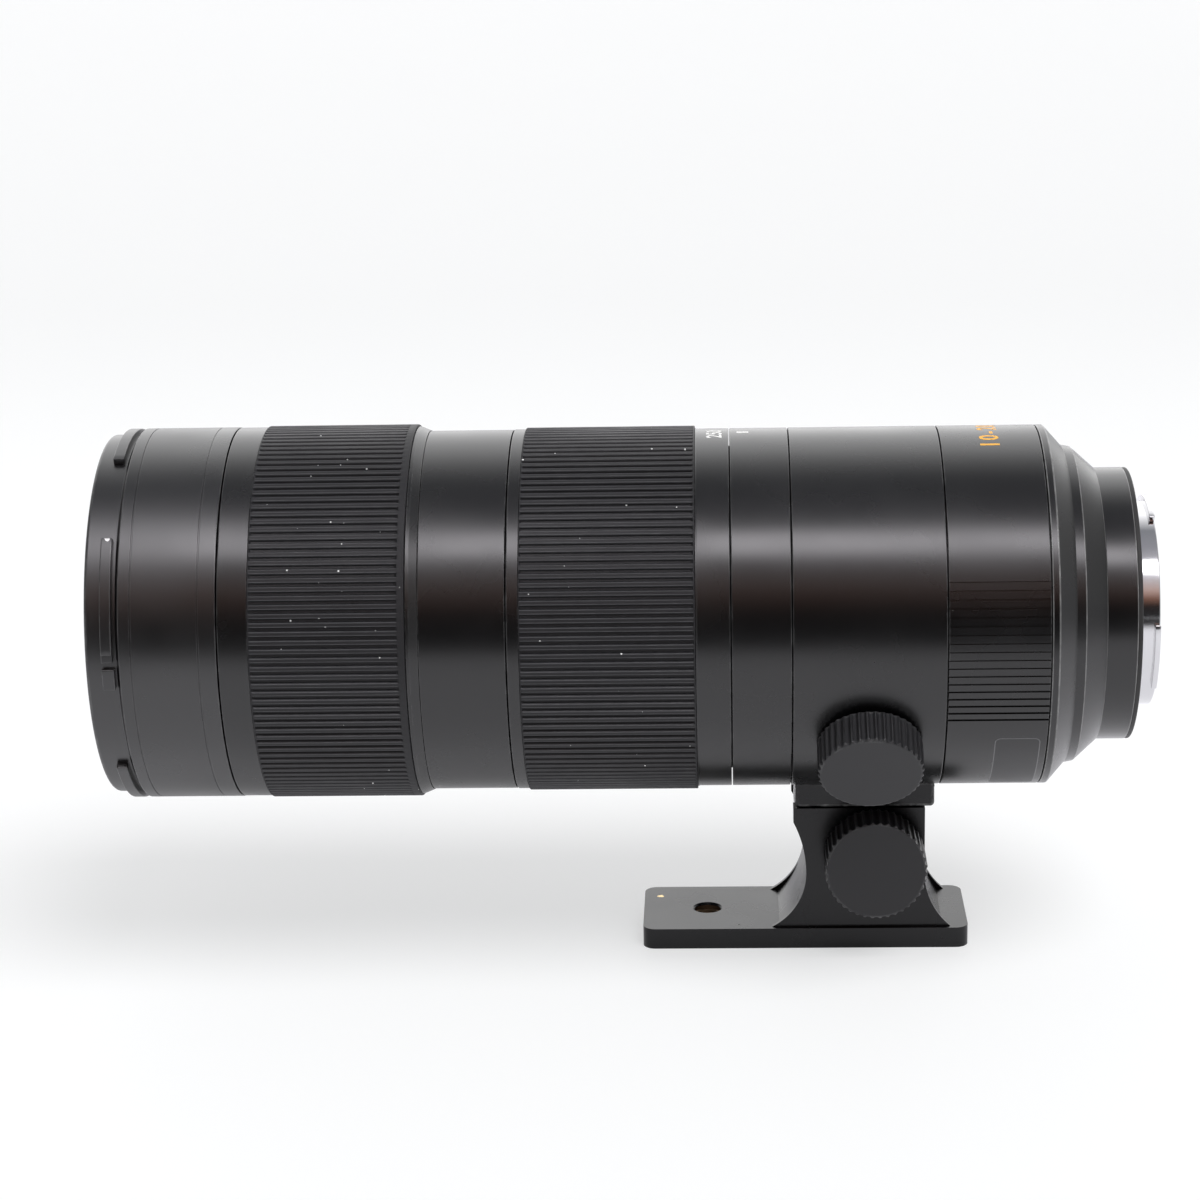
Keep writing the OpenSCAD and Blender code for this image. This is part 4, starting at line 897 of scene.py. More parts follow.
@dataclass
class FrontBarrel:
    """Front barrel with its filter thread, fine lines and the raised ribs that hold a hood."""

    radius: float = 43.8
    rim_out: float = 0.45
    rim_radius: float = 42.4
    rim_length: float = 6.8
    slope: float = 0.7
    edge: float = 0.2
    filter_radius: float = 40.6
    filter_lead: float = 0.25
    bore: float = 40.0
    seat: float = 38.05
    thread_pitch: float = 0.75
    thread_depth: float = 0.42
    thread_count: int = 6
    thread_start: float = 0.55
    thread_lean: float = 0.55
    cell_depth: float = 23.7
    filter_depth: float = 5.5
    line_spots: tuple[float, ...] = (10.1, 25.3)
    line_width: float = 0.3
    line_depth: float = 0.14
    line_lean: float = 0.05
    rib_spot: float = 3.4
    rib_width: float = 2.55
    rib_height: float = 1.4
    rib_root: float = 0.3
    rib_round: float = 0.2
    rib_spans: tuple[tuple[float, float, float, float], ...] = (
        (3.2, 38.7, 0.0, 0.0), (0.8, 3.6, 0.0, 0.3), (-7.7, -1.2, 0.35, 0.15), (70.0, 116.0, 0.0, 0.0),
        (-85.0, -38.7, 0.0, 0.0), (174.0, 220.0, 0.0, 0.0))

    def build(self, shop: Workshop) -> None:
        """Makes the barrel and its ribs."""
        at = place("front_barrel")
        paint = shop.paints.front
        shop.make("front_barrel_shell", turned(self._outline(at)), Body.BARREL, paint,
                  ["front_barrel"])
        shop.make("hood_ribs", self._ribs(at), Body.BARREL, paint)

    def _outline(self, at: Place) -> list[Corner]:
        """Outline of the turned shell: outside with its lines, then inside with the thread's teeth."""
        step = at.front + self.rim_length
        rim = at.front - self.rim_out
        outline: list[Corner] = [(rim, self.rim_radius, 0.7), (step, self.rim_radius, self.edge),
                                 (step + self.slope, self.radius, 0.25)]
        lean, floor = self.line_lean, self.radius - self.line_depth
        for spot in self.line_spots:
            x = at.front + spot
            end = x + self.line_width
            outline += [(x, self.radius, lean), (x + lean, floor, 0), (end, floor, 0),
                        (end + lean, self.radius, lean)]
        x_cell = at.front + self.cell_depth
        rear = at.rear + JOINT_CLOSE
        outline += [(rear, self.radius, self.edge), (rear, self.seat, 0), (x_cell, self.seat, 0),
                    (x_cell, self.bore, 0), (at.front + self.filter_depth, self.bore, 0)]
        for tooth in reversed(range(self.thread_count)):
            x = at.front + self.thread_start + tooth * self.thread_pitch
            outline += [(x + self.thread_pitch * self.thread_lean, self.filter_radius + self.thread_depth, 0),
                        (x, self.filter_radius, 0)]
        return outline + [(rim, self.filter_radius + self.filter_lead, self.edge)]

    def _ribs(self, at: Place) -> Surface:
        """Raised ribs on the rim; the near one has a lower end step, a notch and a stop block.

        Each span gives a rib's lower and upper elevation, how much wider it is and how much lower.
        """
        x0 = at.front + self.rib_spot
        root = self.rim_radius - self.rib_root
        ribs = []
        for low, high, wider, lower in self.rib_spans:
            top = self.rim_radius + self.rib_height - lower
            x1 = x0 + self.rib_width + wider
            corners = [(x0, root, 0.1), (x0, top, 0.18), (x1, top, 0.22), (x1, root, 0.1)]
            ribs.append(swept_arc(corners, low, high, self.rib_round))
        return join_all(ribs)


@dataclass
class GripRing:
    """A turning ring of the lens: its metal ring and its ribbed rubber band."""

    name: str
    body: Body
    ring_node: str
    grip_node: str
    band_radius: float
    grip_radius: float
    tail: tuple[tuple[float, float, float], ...]
    ribs: int
    rib_height: float = 0.62
    rib_top: float = 0.4
    rib_flank: float = 0.18
    end_fade: tuple[float, float] = (0.7, 0.7)
    end_drop: tuple[float, float] = (0.25, 0.25)
    lip: tuple[float, float] = (0.25, 0.25)
    lip_out: float = 0.0
    bore: float = 38.3
    grip_depth: float = 1.45
    trough_gap: float = 0.05
    plain_from: float = 3.5
    crest_inset: float = 0.07
    crest_spread: float = 0.035

    def build(self, shop: Workshop) -> None:
        """Makes the metal ring and the rubber band."""
        shop.make(f"{self.name}_shell", turned(self._outline()), self.body,
                  shop.paints.barrel, [self.ring_node])
        shop.make(f"{self.name}_rubber", self._rubber(), self.body, shop.paints.rubber,
                  [self.grip_node])

    def _outline(self) -> list[Corner]:
        """Outline of the metal ring, with the trough that the rubber lies in."""
        ring, grip = place(self.ring_node), place(self.grip_node)
        floor = self.grip_radius - self.grip_depth - self.trough_gap
        front, rear = ring.front - JOINT_CLOSE, ring.rear + JOINT_CLOSE
        grip_rear = grip.rear + self.lip_out
        outline: list[Corner] = [(front, self.bore, 0), (front, self.band_radius, 0.25),
                                 (grip.front, self.band_radius, 0.15), (grip.front, floor, 0),
                                 (grip_rear, floor, 0)]
        outline += [(grip_rear + x, r, q) for x, r, q in self.tail]
        return outline + [(rear, self.tail[-1][1], 0.2), (rear, self.bore, 0)]

    def _rib(self, share: np.ndarray) -> np.ndarray:
        """Height of the ribs over one pitch: flat top, flanks that follow a half cosine, and a narrow groove."""
        away = np.abs((share % 1.0) - 0.5)
        ramp = np.clip((away - self.rib_top / 2) / self.rib_flank, 0, 1)
        return 0.5 + 0.5 * np.cos(math.pi * ramp)

    def _rubber(self) -> Surface:
        """Rubber band: its outside is a grid of places along X and around.

        The grooves run out before each end, which leaves a smooth lip whose edge is a quarter round.
        """
        at = place(self.grip_node)
        x0, x1 = at.front, at.rear + self.lip_out
        share = np.linspace(0, 1, 6)
        ends = [np.concatenate([drop * (1 - np.cos(share * math.pi / 2)), lip + share * fade])
                for drop, lip, fade in zip(self.end_drop, self.lip, self.end_fade)]
        plain = np.linspace(x0 + self.plain_from, x1 - self.plain_from, 7)
        x = np.concatenate([x0 + ends[0], plain, (x1 - ends[1])[::-1]])
        near = np.stack([x - x0, x1 - x])
        grooved = np.ones_like(x)
        edge = np.zeros_like(x)
        for gap, drop, lip, fade in zip(near, self.end_drop, self.lip, self.end_fade):
            run = np.clip((gap - lip) / fade, 0, 1)
            grooved = grooved * np.sqrt(1 - (1 - run) ** 2)
            edge = edge + drop - np.sqrt(np.maximum(drop ** 2 - np.maximum(drop - gap, 0) ** 2, 0))
        half, flank = self.rib_top / 2, self.rib_flank
        side = np.array([half - self.crest_inset, half, half + 0.3 * flank, half + 0.6 * flank, half + flank])
        steps = 0.5 + np.concatenate([[-0.5], -side[::-1], [0.0], side])
        share = (np.arange(self.ribs)[:, None] + steps[None]).ravel()
        height = self._rib(share)
        turn = 2 * math.pi * share / self.ribs
        root = self.grip_radius - self.rib_height
        r = root - edge[:, None] + self.rib_height * (1 - grooved[:, None] * (1 - height[None]))
        inner = np.full((2, len(turn)), self.grip_radius - self.grip_depth)
        r = np.concatenate([inner[:1], r, inner[1:]])
        x = np.concatenate([[x0], x, [x1]])
        points = around(x[:, None] + 0 * r, r, -turn[None] + 0 * r)
        # Lighter lines at the rib shoulders: partly wear, partly painted highlight.
        off_crest = np.abs((share % 1.0) - 0.5) - half - 0.1 * flank
        crest = np.exp(-(off_crest / self.crest_spread) ** 2)
        bare = np.zeros((1, len(turn)))
        wear = np.concatenate([bare, grooved[:, None] * crest[None], bare])
        faces = grid_faces(len(x), len(turn), True, True)
        return Surface(points.reshape(-1, 3), [faces], wear.ravel())


@dataclass
class PlainRing:
    """A plain turned section of the barrel."""

    name: str
    body: Body
    node: str
    radius: float
    bore: float
    edge: float = 0.2

    def build(self, shop: Workshop) -> None:
        """Makes the ring with softly broken edges."""
        band = plain_band(self.node, self.bore, self.radius, self.edge)
        shop.make(self.name, band, self.body, shop.paints.barrel, [self.node])


@dataclass
class Markings:
    """White index mark, white scale numbers, orange top scale and the bare label."""

    lift: float = 0.02
    radius: float = 42.15
    scale: tuple[tuple[str, float], ...] = (("250", 89.0), ("180", 107.0), ("135", 125.0), ("100", 144.0),
                                            ("80", 164.0))
    scale_x: float = -94.7
    scale_height: float = 3.6
    orange: tuple[tuple[str, float], ...] = (("1", 76.1), ("0", 81.4), ("-", 86.2), ("2", 91.0), ("0", 96.2))
    orange_x: float = -31.05
    orange_height: float = 4.5
    index_span: tuple[float, float] = (-91.1, -88.4)
    index_elevation: float = 90.3
    index_half: float = 1.0
    index_corner: float = 0.05
    label_span: tuple[float, float] = (-33.4, -23.1)
    label_reach: tuple[float, float] = (-64.5, -30.3)
    label_corner: float = 1.4
    label_line: float = 0.22
    label_lift: float = 0.03

    def build(self, shop: Workshop) -> None:
        """Makes every marking as a thin raised film."""
        paints = shop.paints
        numbers = self._numbers(self.scale, self.scale_x, self.scale_height)
        shop.make("zoom_scale_numbers", numbers, Body.ZOOM, paints.white_ink)
        numbers = self._numbers(self.orange, self.orange_x, self.orange_height)
        shop.make("top_scale_numbers", numbers, Body.BARREL, paints.orange_ink)
        low, high = self.index_elevation - self.index_half, self.index_elevation + self.index_half
        mark = self._film(self.index_span, (low, high), self.index_corner, self.lift)
        shop.make("index_mark", mark, Body.BARREL, paints.white_ink)
        line = self.label_line
        around_line = math.degrees(line / self.radius)
        film = self._film(self.label_span, self.label_reach, self.label_corner, self.lift)
        shop.make("bare_label_edge", film, Body.BARREL, paints.label_edge)
        span = (self.label_span[0] + line, self.label_span[1] - line)
        reach = (self.label_reach[0] + around_line, self.label_reach[1] - around_line)
        film = self._film(span, reach, self.label_corner - line, self.label_lift)
        shop.make("bare_label", film, Body.BARREL, paints.label)

    def _film(self, span: tuple[float, float], reach: tuple[float, float], corner: float,
              lift: float) -> Surface:
        """Film on the barrel with rounded corners.

        Args:
            span: Its two places along X.
            reach: Its lower and upper elevation, in degrees.
            corner: Radius of its corners.
            lift: Its height over the barrel.

        Returns:
            The closed film.
        """
        low, high = (math.radians(angle) * self.radius for angle in reach)
        start = corner * (1 - np.cos(np.linspace(0, math.pi / 2, 6)))
        straight = np.linspace(corner, high - low - corner, SWEEP_STEPS)[1:-1]
        arc = np.concatenate([start, straight, high - low - start[::-1]])
        gap = np.maximum(corner - np.minimum(arc, high - low - arc), 0)
        inset = corner - np.sqrt(corner ** 2 - gap ** 2)
        x = np.stack([span[0] + inset, span[0] + inset, span[1] - inset, span[1] - inset], axis=-1)
        r = self.radius + np.array([-FILM_ROOT, lift, lift, -FILM_ROOT]) + 0 * x
        points = around(x, r, (low + arc)[:, None] / self.radius + 0 * x).reshape(-1, 3)
        return Surface(points, tube_faces(*x.shape), np.zeros(len(points)))

    def _numbers(self, numbers: Sequence[tuple[str, float]], x: float, height: float) -> Surface:
        """Numbers wrapped around the barrel: width becomes elevation, and height runs towards the front."""
        films = []
        for text, elevation in numbers:
            flat, faces = flat_text(text, height)
            turn = np.radians(elevation) + flat[:, 0] / self.radius
            level = np.where(flat[:, 2] > 0, self.radius + self.lift, self.radius - FILM_ROOT)
            films.append(Surface(around(x - flat[:, 1], level, turn), faces, np.zeros(len(flat))))
        return join_all(films)


def flat_text(text: str, height: float) -> tuple[np.ndarray, list[np.ndarray]]:
    """Makes plain digits as a flat mesh, centred along their width.

    Args:
        text: Digits to write.
        height: Height of a digit, in millimetres.

    Returns:
        Points in millimetres and the faces as triangles.
    """
    size_per_height, boldness = 1.38, 0.026
    curve = bpy.data.curves.new("digits", "FONT")
    curve.body = text
    curve.size = height * size_per_height
    curve.offset = height * boldness
    curve.extrude = FILM_ROOT
    curve.resolution_u = 3
    carrier = add_to_scene(bpy.data.objects.new("digits", curve))
    bpy.context.view_layer.update()
    mesh = bpy.data.meshes.new_from_object(carrier.evaluated_get(bpy.context.evaluated_depsgraph_get()))
    mesh.calc_loop_triangles()
    points = np.empty(len(mesh.vertices) * 3, np.float32)
    mesh.vertices.foreach_get("co", points)
    triangles = np.empty(len(mesh.loop_triangles) * 3, np.int32)
    mesh.loop_triangles.foreach_get("vertices", triangles)
    bpy.data.objects.remove(carrier)
    bpy.data.curves.remove(curve)
    bpy.data.meshes.remove(mesh)
    points = points.reshape(-1, 3).astype(float)
    points[:, 0] -= (points[:, 0].max() + points[:, 0].min()) / 2
    return points, [triangles.reshape(-1, 3)]


@dataclass
class TripodCollar:
    """Collar ring with the lug and dovetail under it."""

    radius: float = 42.15
    bore: float = 40.0
    lug_half: float = 12.85
    lug_top: float = -40.05
    lug_bottom: float = -45.9
    root_half: float = 8.0
    tail_half: float = 10.0
    tail_bottom: float = -50.9
    lug_front: float = -78.1
    lug_rear: float = -45.3
    tail_rear: float = -48.35
    edge: float = 0.2
    root_rise: float = 0.5

    def build(self, shop: Workshop) -> None:
        """Makes the ring and its lug."""
        band = plain_band("collar_ring", self.bore, self.radius, self.edge)
        shop.make("collar_band", band, Body.COLLAR, shop.paints.barrel, ["collar_ring"])
        shop.make("collar_lug", self._lug(), Body.COLLAR, shop.paints.foot)

    def _lug(self) -> Surface:
        """Block under the ring and the dovetail under it: outlines of (y, z) carried along X."""
        # The rims of the lug and dovetail carry the foot paint's painted edge highlights.
        block = rounded_prism([
            (-self.lug_half, self.lug_top, 0.2), (-self.lug_half, self.lug_bottom, 0.7),
            (self.lug_half, self.lug_bottom, 0.7), (self.lug_half, self.lug_top, 0.2)
        ], self.lug_front, self.lug_rear, 1.0)
        root = self.lug_bottom + self.root_rise
        tail = rounded_prism([
            (-self.root_half, root, 0.1), (-self.tail_half, self.tail_bottom, 0.3),
            (self.tail_half, self.tail_bottom, 0.3), (self.root_half, root, 0.1)
        ], self.lug_front, self.tail_rear, 0.3)
        prism = block.joined(tail)
        prism.points = prism.points[:, [2, 0, 1]]
        return prism


@dataclass
class Knob:
    """Fluted clamp knob: a cap with a narrow chamfer, and flutes that run out through it."""

    name: str
    body: Body
    node: str
    base: tuple[float, float, float]
    axis: tuple[float, float, float]
    length: float
    radius: float = 12.0
    chamfer: float = 0.75
    flutes: int = 40
    flute_radius: float = 0.78
    flute_out: float = 0.24
    stem_radius: float = 2.6
    foot_round: float = 0.5
    face_share: float = 0.7
    rim_wear_and_highlight: float = 0.7
    ridge_wear_and_highlight: float = 0.6
    ridge_depth: float = 0.12

    def build(self, shop: Workshop) -> None:
        """Makes the knob in its own frame and places it on its axis."""
        surface = self._surface()
        out = np.array(self.axis) / np.linalg.norm(self.axis)
        side = np.array([1.0, 0.0, 0.0])
        up = np.cross(out, side)
        surface.points = np.array(self.base) + surface.points @ np.stack([out, side, up])
        shop.make(self.name, surface, self.body, shop.paints.knob, [self.node])

    def _surface(self) -> Surface:
        """Turned outline whose radius is never more than the flute's wall.

        The wall of a flute of radius q about a point at distance d from the axis, seen at an angle t from its
        middle, is at d cos t - sqrt(q squared - (d sin t) squared).
        """
        top = self.length
        line, wear = rounded_loop([(0.0, 0.0, 0.0), (0.0, self.radius, self.foot_round),
                                   (top, self.radius, self.chamfer), (top, 0.0, 0.0)])
        pitch = 2 * math.pi / self.flutes
        far = self.radius + self.flute_out
        reach = math.asin(self.flute_radius / far)
        local = np.concatenate([np.linspace(-reach, reach, 11), [pitch / 2]])
        turn = (np.arange(self.flutes)[:, None] * pitch + local[None]).ravel()
        inside = np.maximum(self.flute_radius ** 2 - (far * np.sin(local)) ** 2, 0.0)
        wall = np.where(np.abs(local) <= reach, far * np.cos(local) - np.sqrt(inside), self.radius)
        walls = np.tile(wall, self.flutes)
        off_axis = line[:, 1] > 1e-6
        rows, marks = line[off_axis], wear[off_axis]
        order = np.argsort(np.arctan2(rows[:, 0] - top / 2, rows[:, 1]))
        rows, marks = rows[order], marks[order]
        face = self.radius * self.face_share
        hub = np.array([[0.0, self.stem_radius], [0.0, face]])
        cap = np.array([[top, face], [top, self.stem_radius]])
        rows = np.concatenate([hub, rows, cap])
        marks = np.concatenate([np.zeros(2), marks, np.zeros(2)])
        r = np.minimum(rows[:, 1:], walls[None])
        x = rows[:, :1] + 0 * r
        points = np.stack([x, r * np.cos(turn), r * np.sin(turn)], axis=-1).reshape(-1, 3)
        poles = np.array([[0.0, 0.0, 0.0], [top, 0.0, 0.0]])
        # Cap rim and ridge marks: partly wear, partly painted highlight.
        ridge = np.where(np.abs(walls - self.radius) < self.ridge_depth, 1.0, 0.0)
        outer = rows[:, 1:] > self.radius - 0.05
        worn = np.maximum(marks[:, None] * self.rim_wear_and_highlight, outer * ridge[None] * self.ridge_wear_and_highlight)
        wear = np.concatenate([worn.ravel(), np.zeros(len(poles))])
        return Surface(np.concatenate([points, poles]), poled_faces(*r.shape), wear)


@dataclass
class Foot:
    """Foot neck and plate, softened along their edges, with the thread of the tripod hole."""

    thread_radius: float = 3.15
    thread_depth: float = 0.42
    thread_pitch: float = 0.8
    thread_inset: float = 0.6
    thread_gap: float = 0.05
    thread_steps: int = 48
    hole_x: float = -99.2
    bevels: tuple[tuple[str, float], ...] = (("foot_neck", 0.35), ("foot_plate", 0.5))

    def build(self, shop: Workshop) -> None:
        """Makes the neck, the plate and the thread."""
        for node, width in self.bevels:
            casting = softened_copy(f"{node}_casting", node, width)
            shop.fit(casting, Body.FOOT, shop.paints.foot, [node])
        shop.make("tripod_thread", self._thread(), Body.FOOT, shop.paints.thread)

    def _thread(self) -> Surface:
        """Rings of teeth inside the hole: a closed outline of (level, r) carried around the hole's axis."""
        low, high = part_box("foot_plate")
        z0, z1 = low.z / MM + self.thread_inset, high.z / MM - self.thread_inset
        outline: list[Corner] = [(z0, self.thread_radius, 0.0), (z1, self.thread_radius, 0.0)]
        root = self.thread_radius - self.thread_gap
        count = int((z1 - z0) / self.thread_pitch)
        for k in reversed(range(count)):
            z = z0 + (k + 0.25) * self.thread_pitch
            outline += [(z + self.thread_pitch * 0.5, root, 0.0),
                        (z + self.thread_pitch * 0.25, self.thread_radius - self.thread_depth, 0.05),
                        (z, root, 0.0)]
        tooth = turned(outline, self.thread_steps)
        level, across, along = tooth.points.T
        tooth.points = np.stack([self.hole_x + along, across, level], axis=-1)
        return tooth


@dataclass
class RearBarrel:
    """Rear barrel with a panel of fine engraved lines on each side, and the two cones behind it.

    Cone corners are given as (place behind the barrel, radius, corner radius).
    """

    radius: float = 42.15
    bore: float = 40.36
    sleeve: float = 39.5
    sleeve_bore: float = 38.5
    sleeve_overlap: float = 5.0
    joint: float = 0.5
    edge: float = 0.2
    lines: int = 18
    pitch: float = 2.63
    line_width: float = 0.5
    line_depth: float = 0.35
    line_lean: float = 0.0006
    spigot: float = 40.3
    spigot_bore: float = 38.4
    slopes: tuple[Corner, ...] = ((5.75, 37.4, 0.25), (7.95, 37.0, 0.3))
    band_end: float = 1.55
    tail_step: tuple[float, float, float] = (13.25, 13.3, 0.3)
    tail_wall: float = 1.38
    shelf: tuple[float, float] = (-2.42, -5.42)
    shelf_bore: float = 24.6
    inside: tuple[tuple[float, float], ...] = ((6.5, 35.0), (1.5, 38.4))
    inside_tail: float = 12.0
    seal_wall: float = 1.35

    def build(self, shop: Workshop) -> None:
        """Makes the barrel and the cones."""
        at = place("rear_barrel")
        front = place("collar_ring").rear + self.joint - JOINT_CLOSE
        rear = at.rear + JOINT_CLOSE
        inner = front + self.sleeve_overlap
        outline: list[Corner] = [
            (at.front, self.sleeve_bore, 0), (at.front, self.sleeve, self.edge), (front, self.sleeve, 0),
            (front, self.radius, self.edge), (rear, self.radius, self.edge), (rear, self.bore, 0),
            (inner, self.bore, 0), (inner, self.sleeve_bore, 0)
        ]
        shell = turned(outline, shape=self._engraved, angles=self._angles())
        shop.make("rear_barrel_shell", shell, Body.BARREL, shop.paints.barrel, ["rear_barrel"])
        shop.make("rear_cone_shell", self._cones(), Body.BARREL, shop.paints.cone, ["rear_cone"])
        shop.make("mount_seal_lip", self._seal(), Body.BARREL, shop.paints.seal, ["mount_seal"])

    def _line_spots(self) -> np.ndarray:
        """Elevations of all lines on both sides, in radians."""
        near = (np.arange(self.lines) - (self.lines - 1) / 2) * self.pitch
        return np.radians(np.concatenate([near, near + 180]))

    def _from_line(self, turn: np.ndarray) -> np.ndarray:
        """Angle from each elevation to the nearest line, in radians."""
        away = turn[:, None] - self._line_spots()[None]
        return np.abs((away + math.pi) % (2 * math.pi) - math.pi).min(1)

    def _angles(self) -> np.ndarray:
        """Elevations of the grid: even steps, and four at the walls of each line."""
        half = self.line_width / 2 / self.radius
        walls = np.array([-half - self.line_lean, -half, half, half + self.line_lean])
        lines = (self._line_spots()[:, None] + walls[None]).ravel()
        even = np.linspace(0, 2 * math.pi, AROUND, endpoint=False)
        return np.sort(np.concatenate([even[self._from_line(even) > 2 * half], lines % (2 * math.pi)]))

    def _engraved(self, x: np.ndarray, r: np.ndarray, turn: np.ndarray) -> np.ndarray:
        """Radius with the lines cut in: inside a line it is never more than the line's floor."""
        half = self.line_width / 2 / self.radius
        within = self._from_line(turn[0]) < half + self.line_lean / 2
        floor = np.where(within, self.radius - self.line_depth, self.radius)
        return np.where(r > self.bore + self.line_depth, np.minimum(r, floor[None]), r)

    def _cones(self) -> Surface:
        """Cones: a short band, a slope, a step, a second slope and the straight tail around the mount."""
        at = place("rear_cone")
        x0 = place("rear_barrel").rear + self.joint
        start = x0 - JOINT_CLOSE
        tail = place("mount_seal").reach
        wall = tail - self.tail_wall
        step, straight, rise = self.tail_step
        outline: list[Corner] = [(at.front, self.spigot_bore, 0), (at.front, self.spigot, self.edge),
                                 (start, self.spigot, 0), (start, self.radius, self.edge),
                                 (x0 + self.band_end, self.radius, 0.35)]
        outline += [(x0 + x, r, q) for x, r, q in self.slopes]
        outline += [(x0 + step, tail + rise, 0.12), (x0 + straight, tail, 0.1), (at.rear, tail, self.edge),
                    (at.rear, wall, 0)]
        rear, front = self.shelf
        outline += [(rear, wall, 0), (rear, self.shelf_bore, 0), (front, self.shelf_bore, 0), (front, wall, 0),
                    (x0 + self.inside_tail, wall, 0)]
        # The outward corners of this outline carry the cone finish's painted edge highlights.
        return turned(outline + [(x0 + x, r, 0) for x, r in self.inside])

    def _seal(self) -> Surface:
        """Seal around the mount, whose lip is a little wider than its root."""
        at = place("mount_seal")
        bore = at.reach - self.seal_wall
        return turned([(at.front, bore, 0), (at.front, at.reach - 0.1, 0.1), (at.rear, at.reach, 0.35),
                       (at.rear, bore, 0.2)])


@dataclass
class Bayonet:
    """Chrome bayonet: flange, spigot with a lead-in, and three lugs."""

    flange_radius: float = 30.48
    spigot_radius: float = 24.0
    spigot_bore: float = 22.4
    spigot_top: float = 4.9
    lug_rise: float = 1.4
    lug_thickness: float = 1.3
    lug_root: float = 0.3
    lug_round: float = 0.3
    lugs: tuple[tuple[float, float], ...] = ((-36.0, 4.0), (67.0, 125.0), (195.0, 245.0))

    def build(self, shop: Workshop) -> None:
        """Makes the flange with its spigot, and the lugs."""
        at = place("bayonet_mount")
        outline: list[Corner] = [
            (at.front, self.spigot_bore, 0), (at.front, self.flange_radius, 0), (0.0, self.flange_radius, 0.25),
            (0.0, self.spigot_radius, 0.15), (self.spigot_top, self.spigot_radius, 0.3),
            (self.spigot_top, self.spigot_bore, 0.25)
        ]
        x0, x1 = self.spigot_top - self.lug_thickness, self.spigot_top
        root, top = self.spigot_radius - self.lug_root, self.spigot_radius + self.lug_rise
        lug: list[Corner] = [(x0, root, 0), (x0, top, 0.12), (x1, top, 0.3), (x1, root, 0)]
        lugs = [swept_arc(lug, low, high, self.lug_round) for low, high in self.lugs]
        shop.make("bayonet_chrome", join_all([turned(outline), *lugs]), Body.BARREL,
                  shop.paints.chrome, ["bayonet_mount"])


@dataclass
class EndGlass:
    """Front and rear elements as smooth domes. Each has a name, its CAD node and the sag of its two faces."""

    steps: int = 40
    elements: tuple[tuple[str, str, tuple[float, float]], ...] = (
        ("front_glass", "front_element_1", (2.6, 0.0)), ("rear_glass", "rear_element", (0.8, 0.8)))

    def build(self, shop: Workshop) -> None:
        """Makes both elements."""
        glass = shop.paints.by_slot[Slot.LENS_GLASS]
        for name, node, sags in self.elements:
            dome = turned_disc(self._outline(place(node), sags))
            shop.make(name, dome, Body.BARREL, glass, [node])

    def _outline(self, at: Place, sags: tuple[float, float]) -> np.ndarray:
        """Outline from the front pole to the rear pole; each face is a parabola of its own sag."""
        share = np.linspace(0, 1, self.steps)
        front = np.stack([at.front + sags[0] * share ** 2, at.reach * share], axis=-1)
        rear = np.stack([at.rear - sags[1] * share[::-1] ** 2, at.reach * share[::-1]], axis=-1)
        return np.concatenate([front, rear])


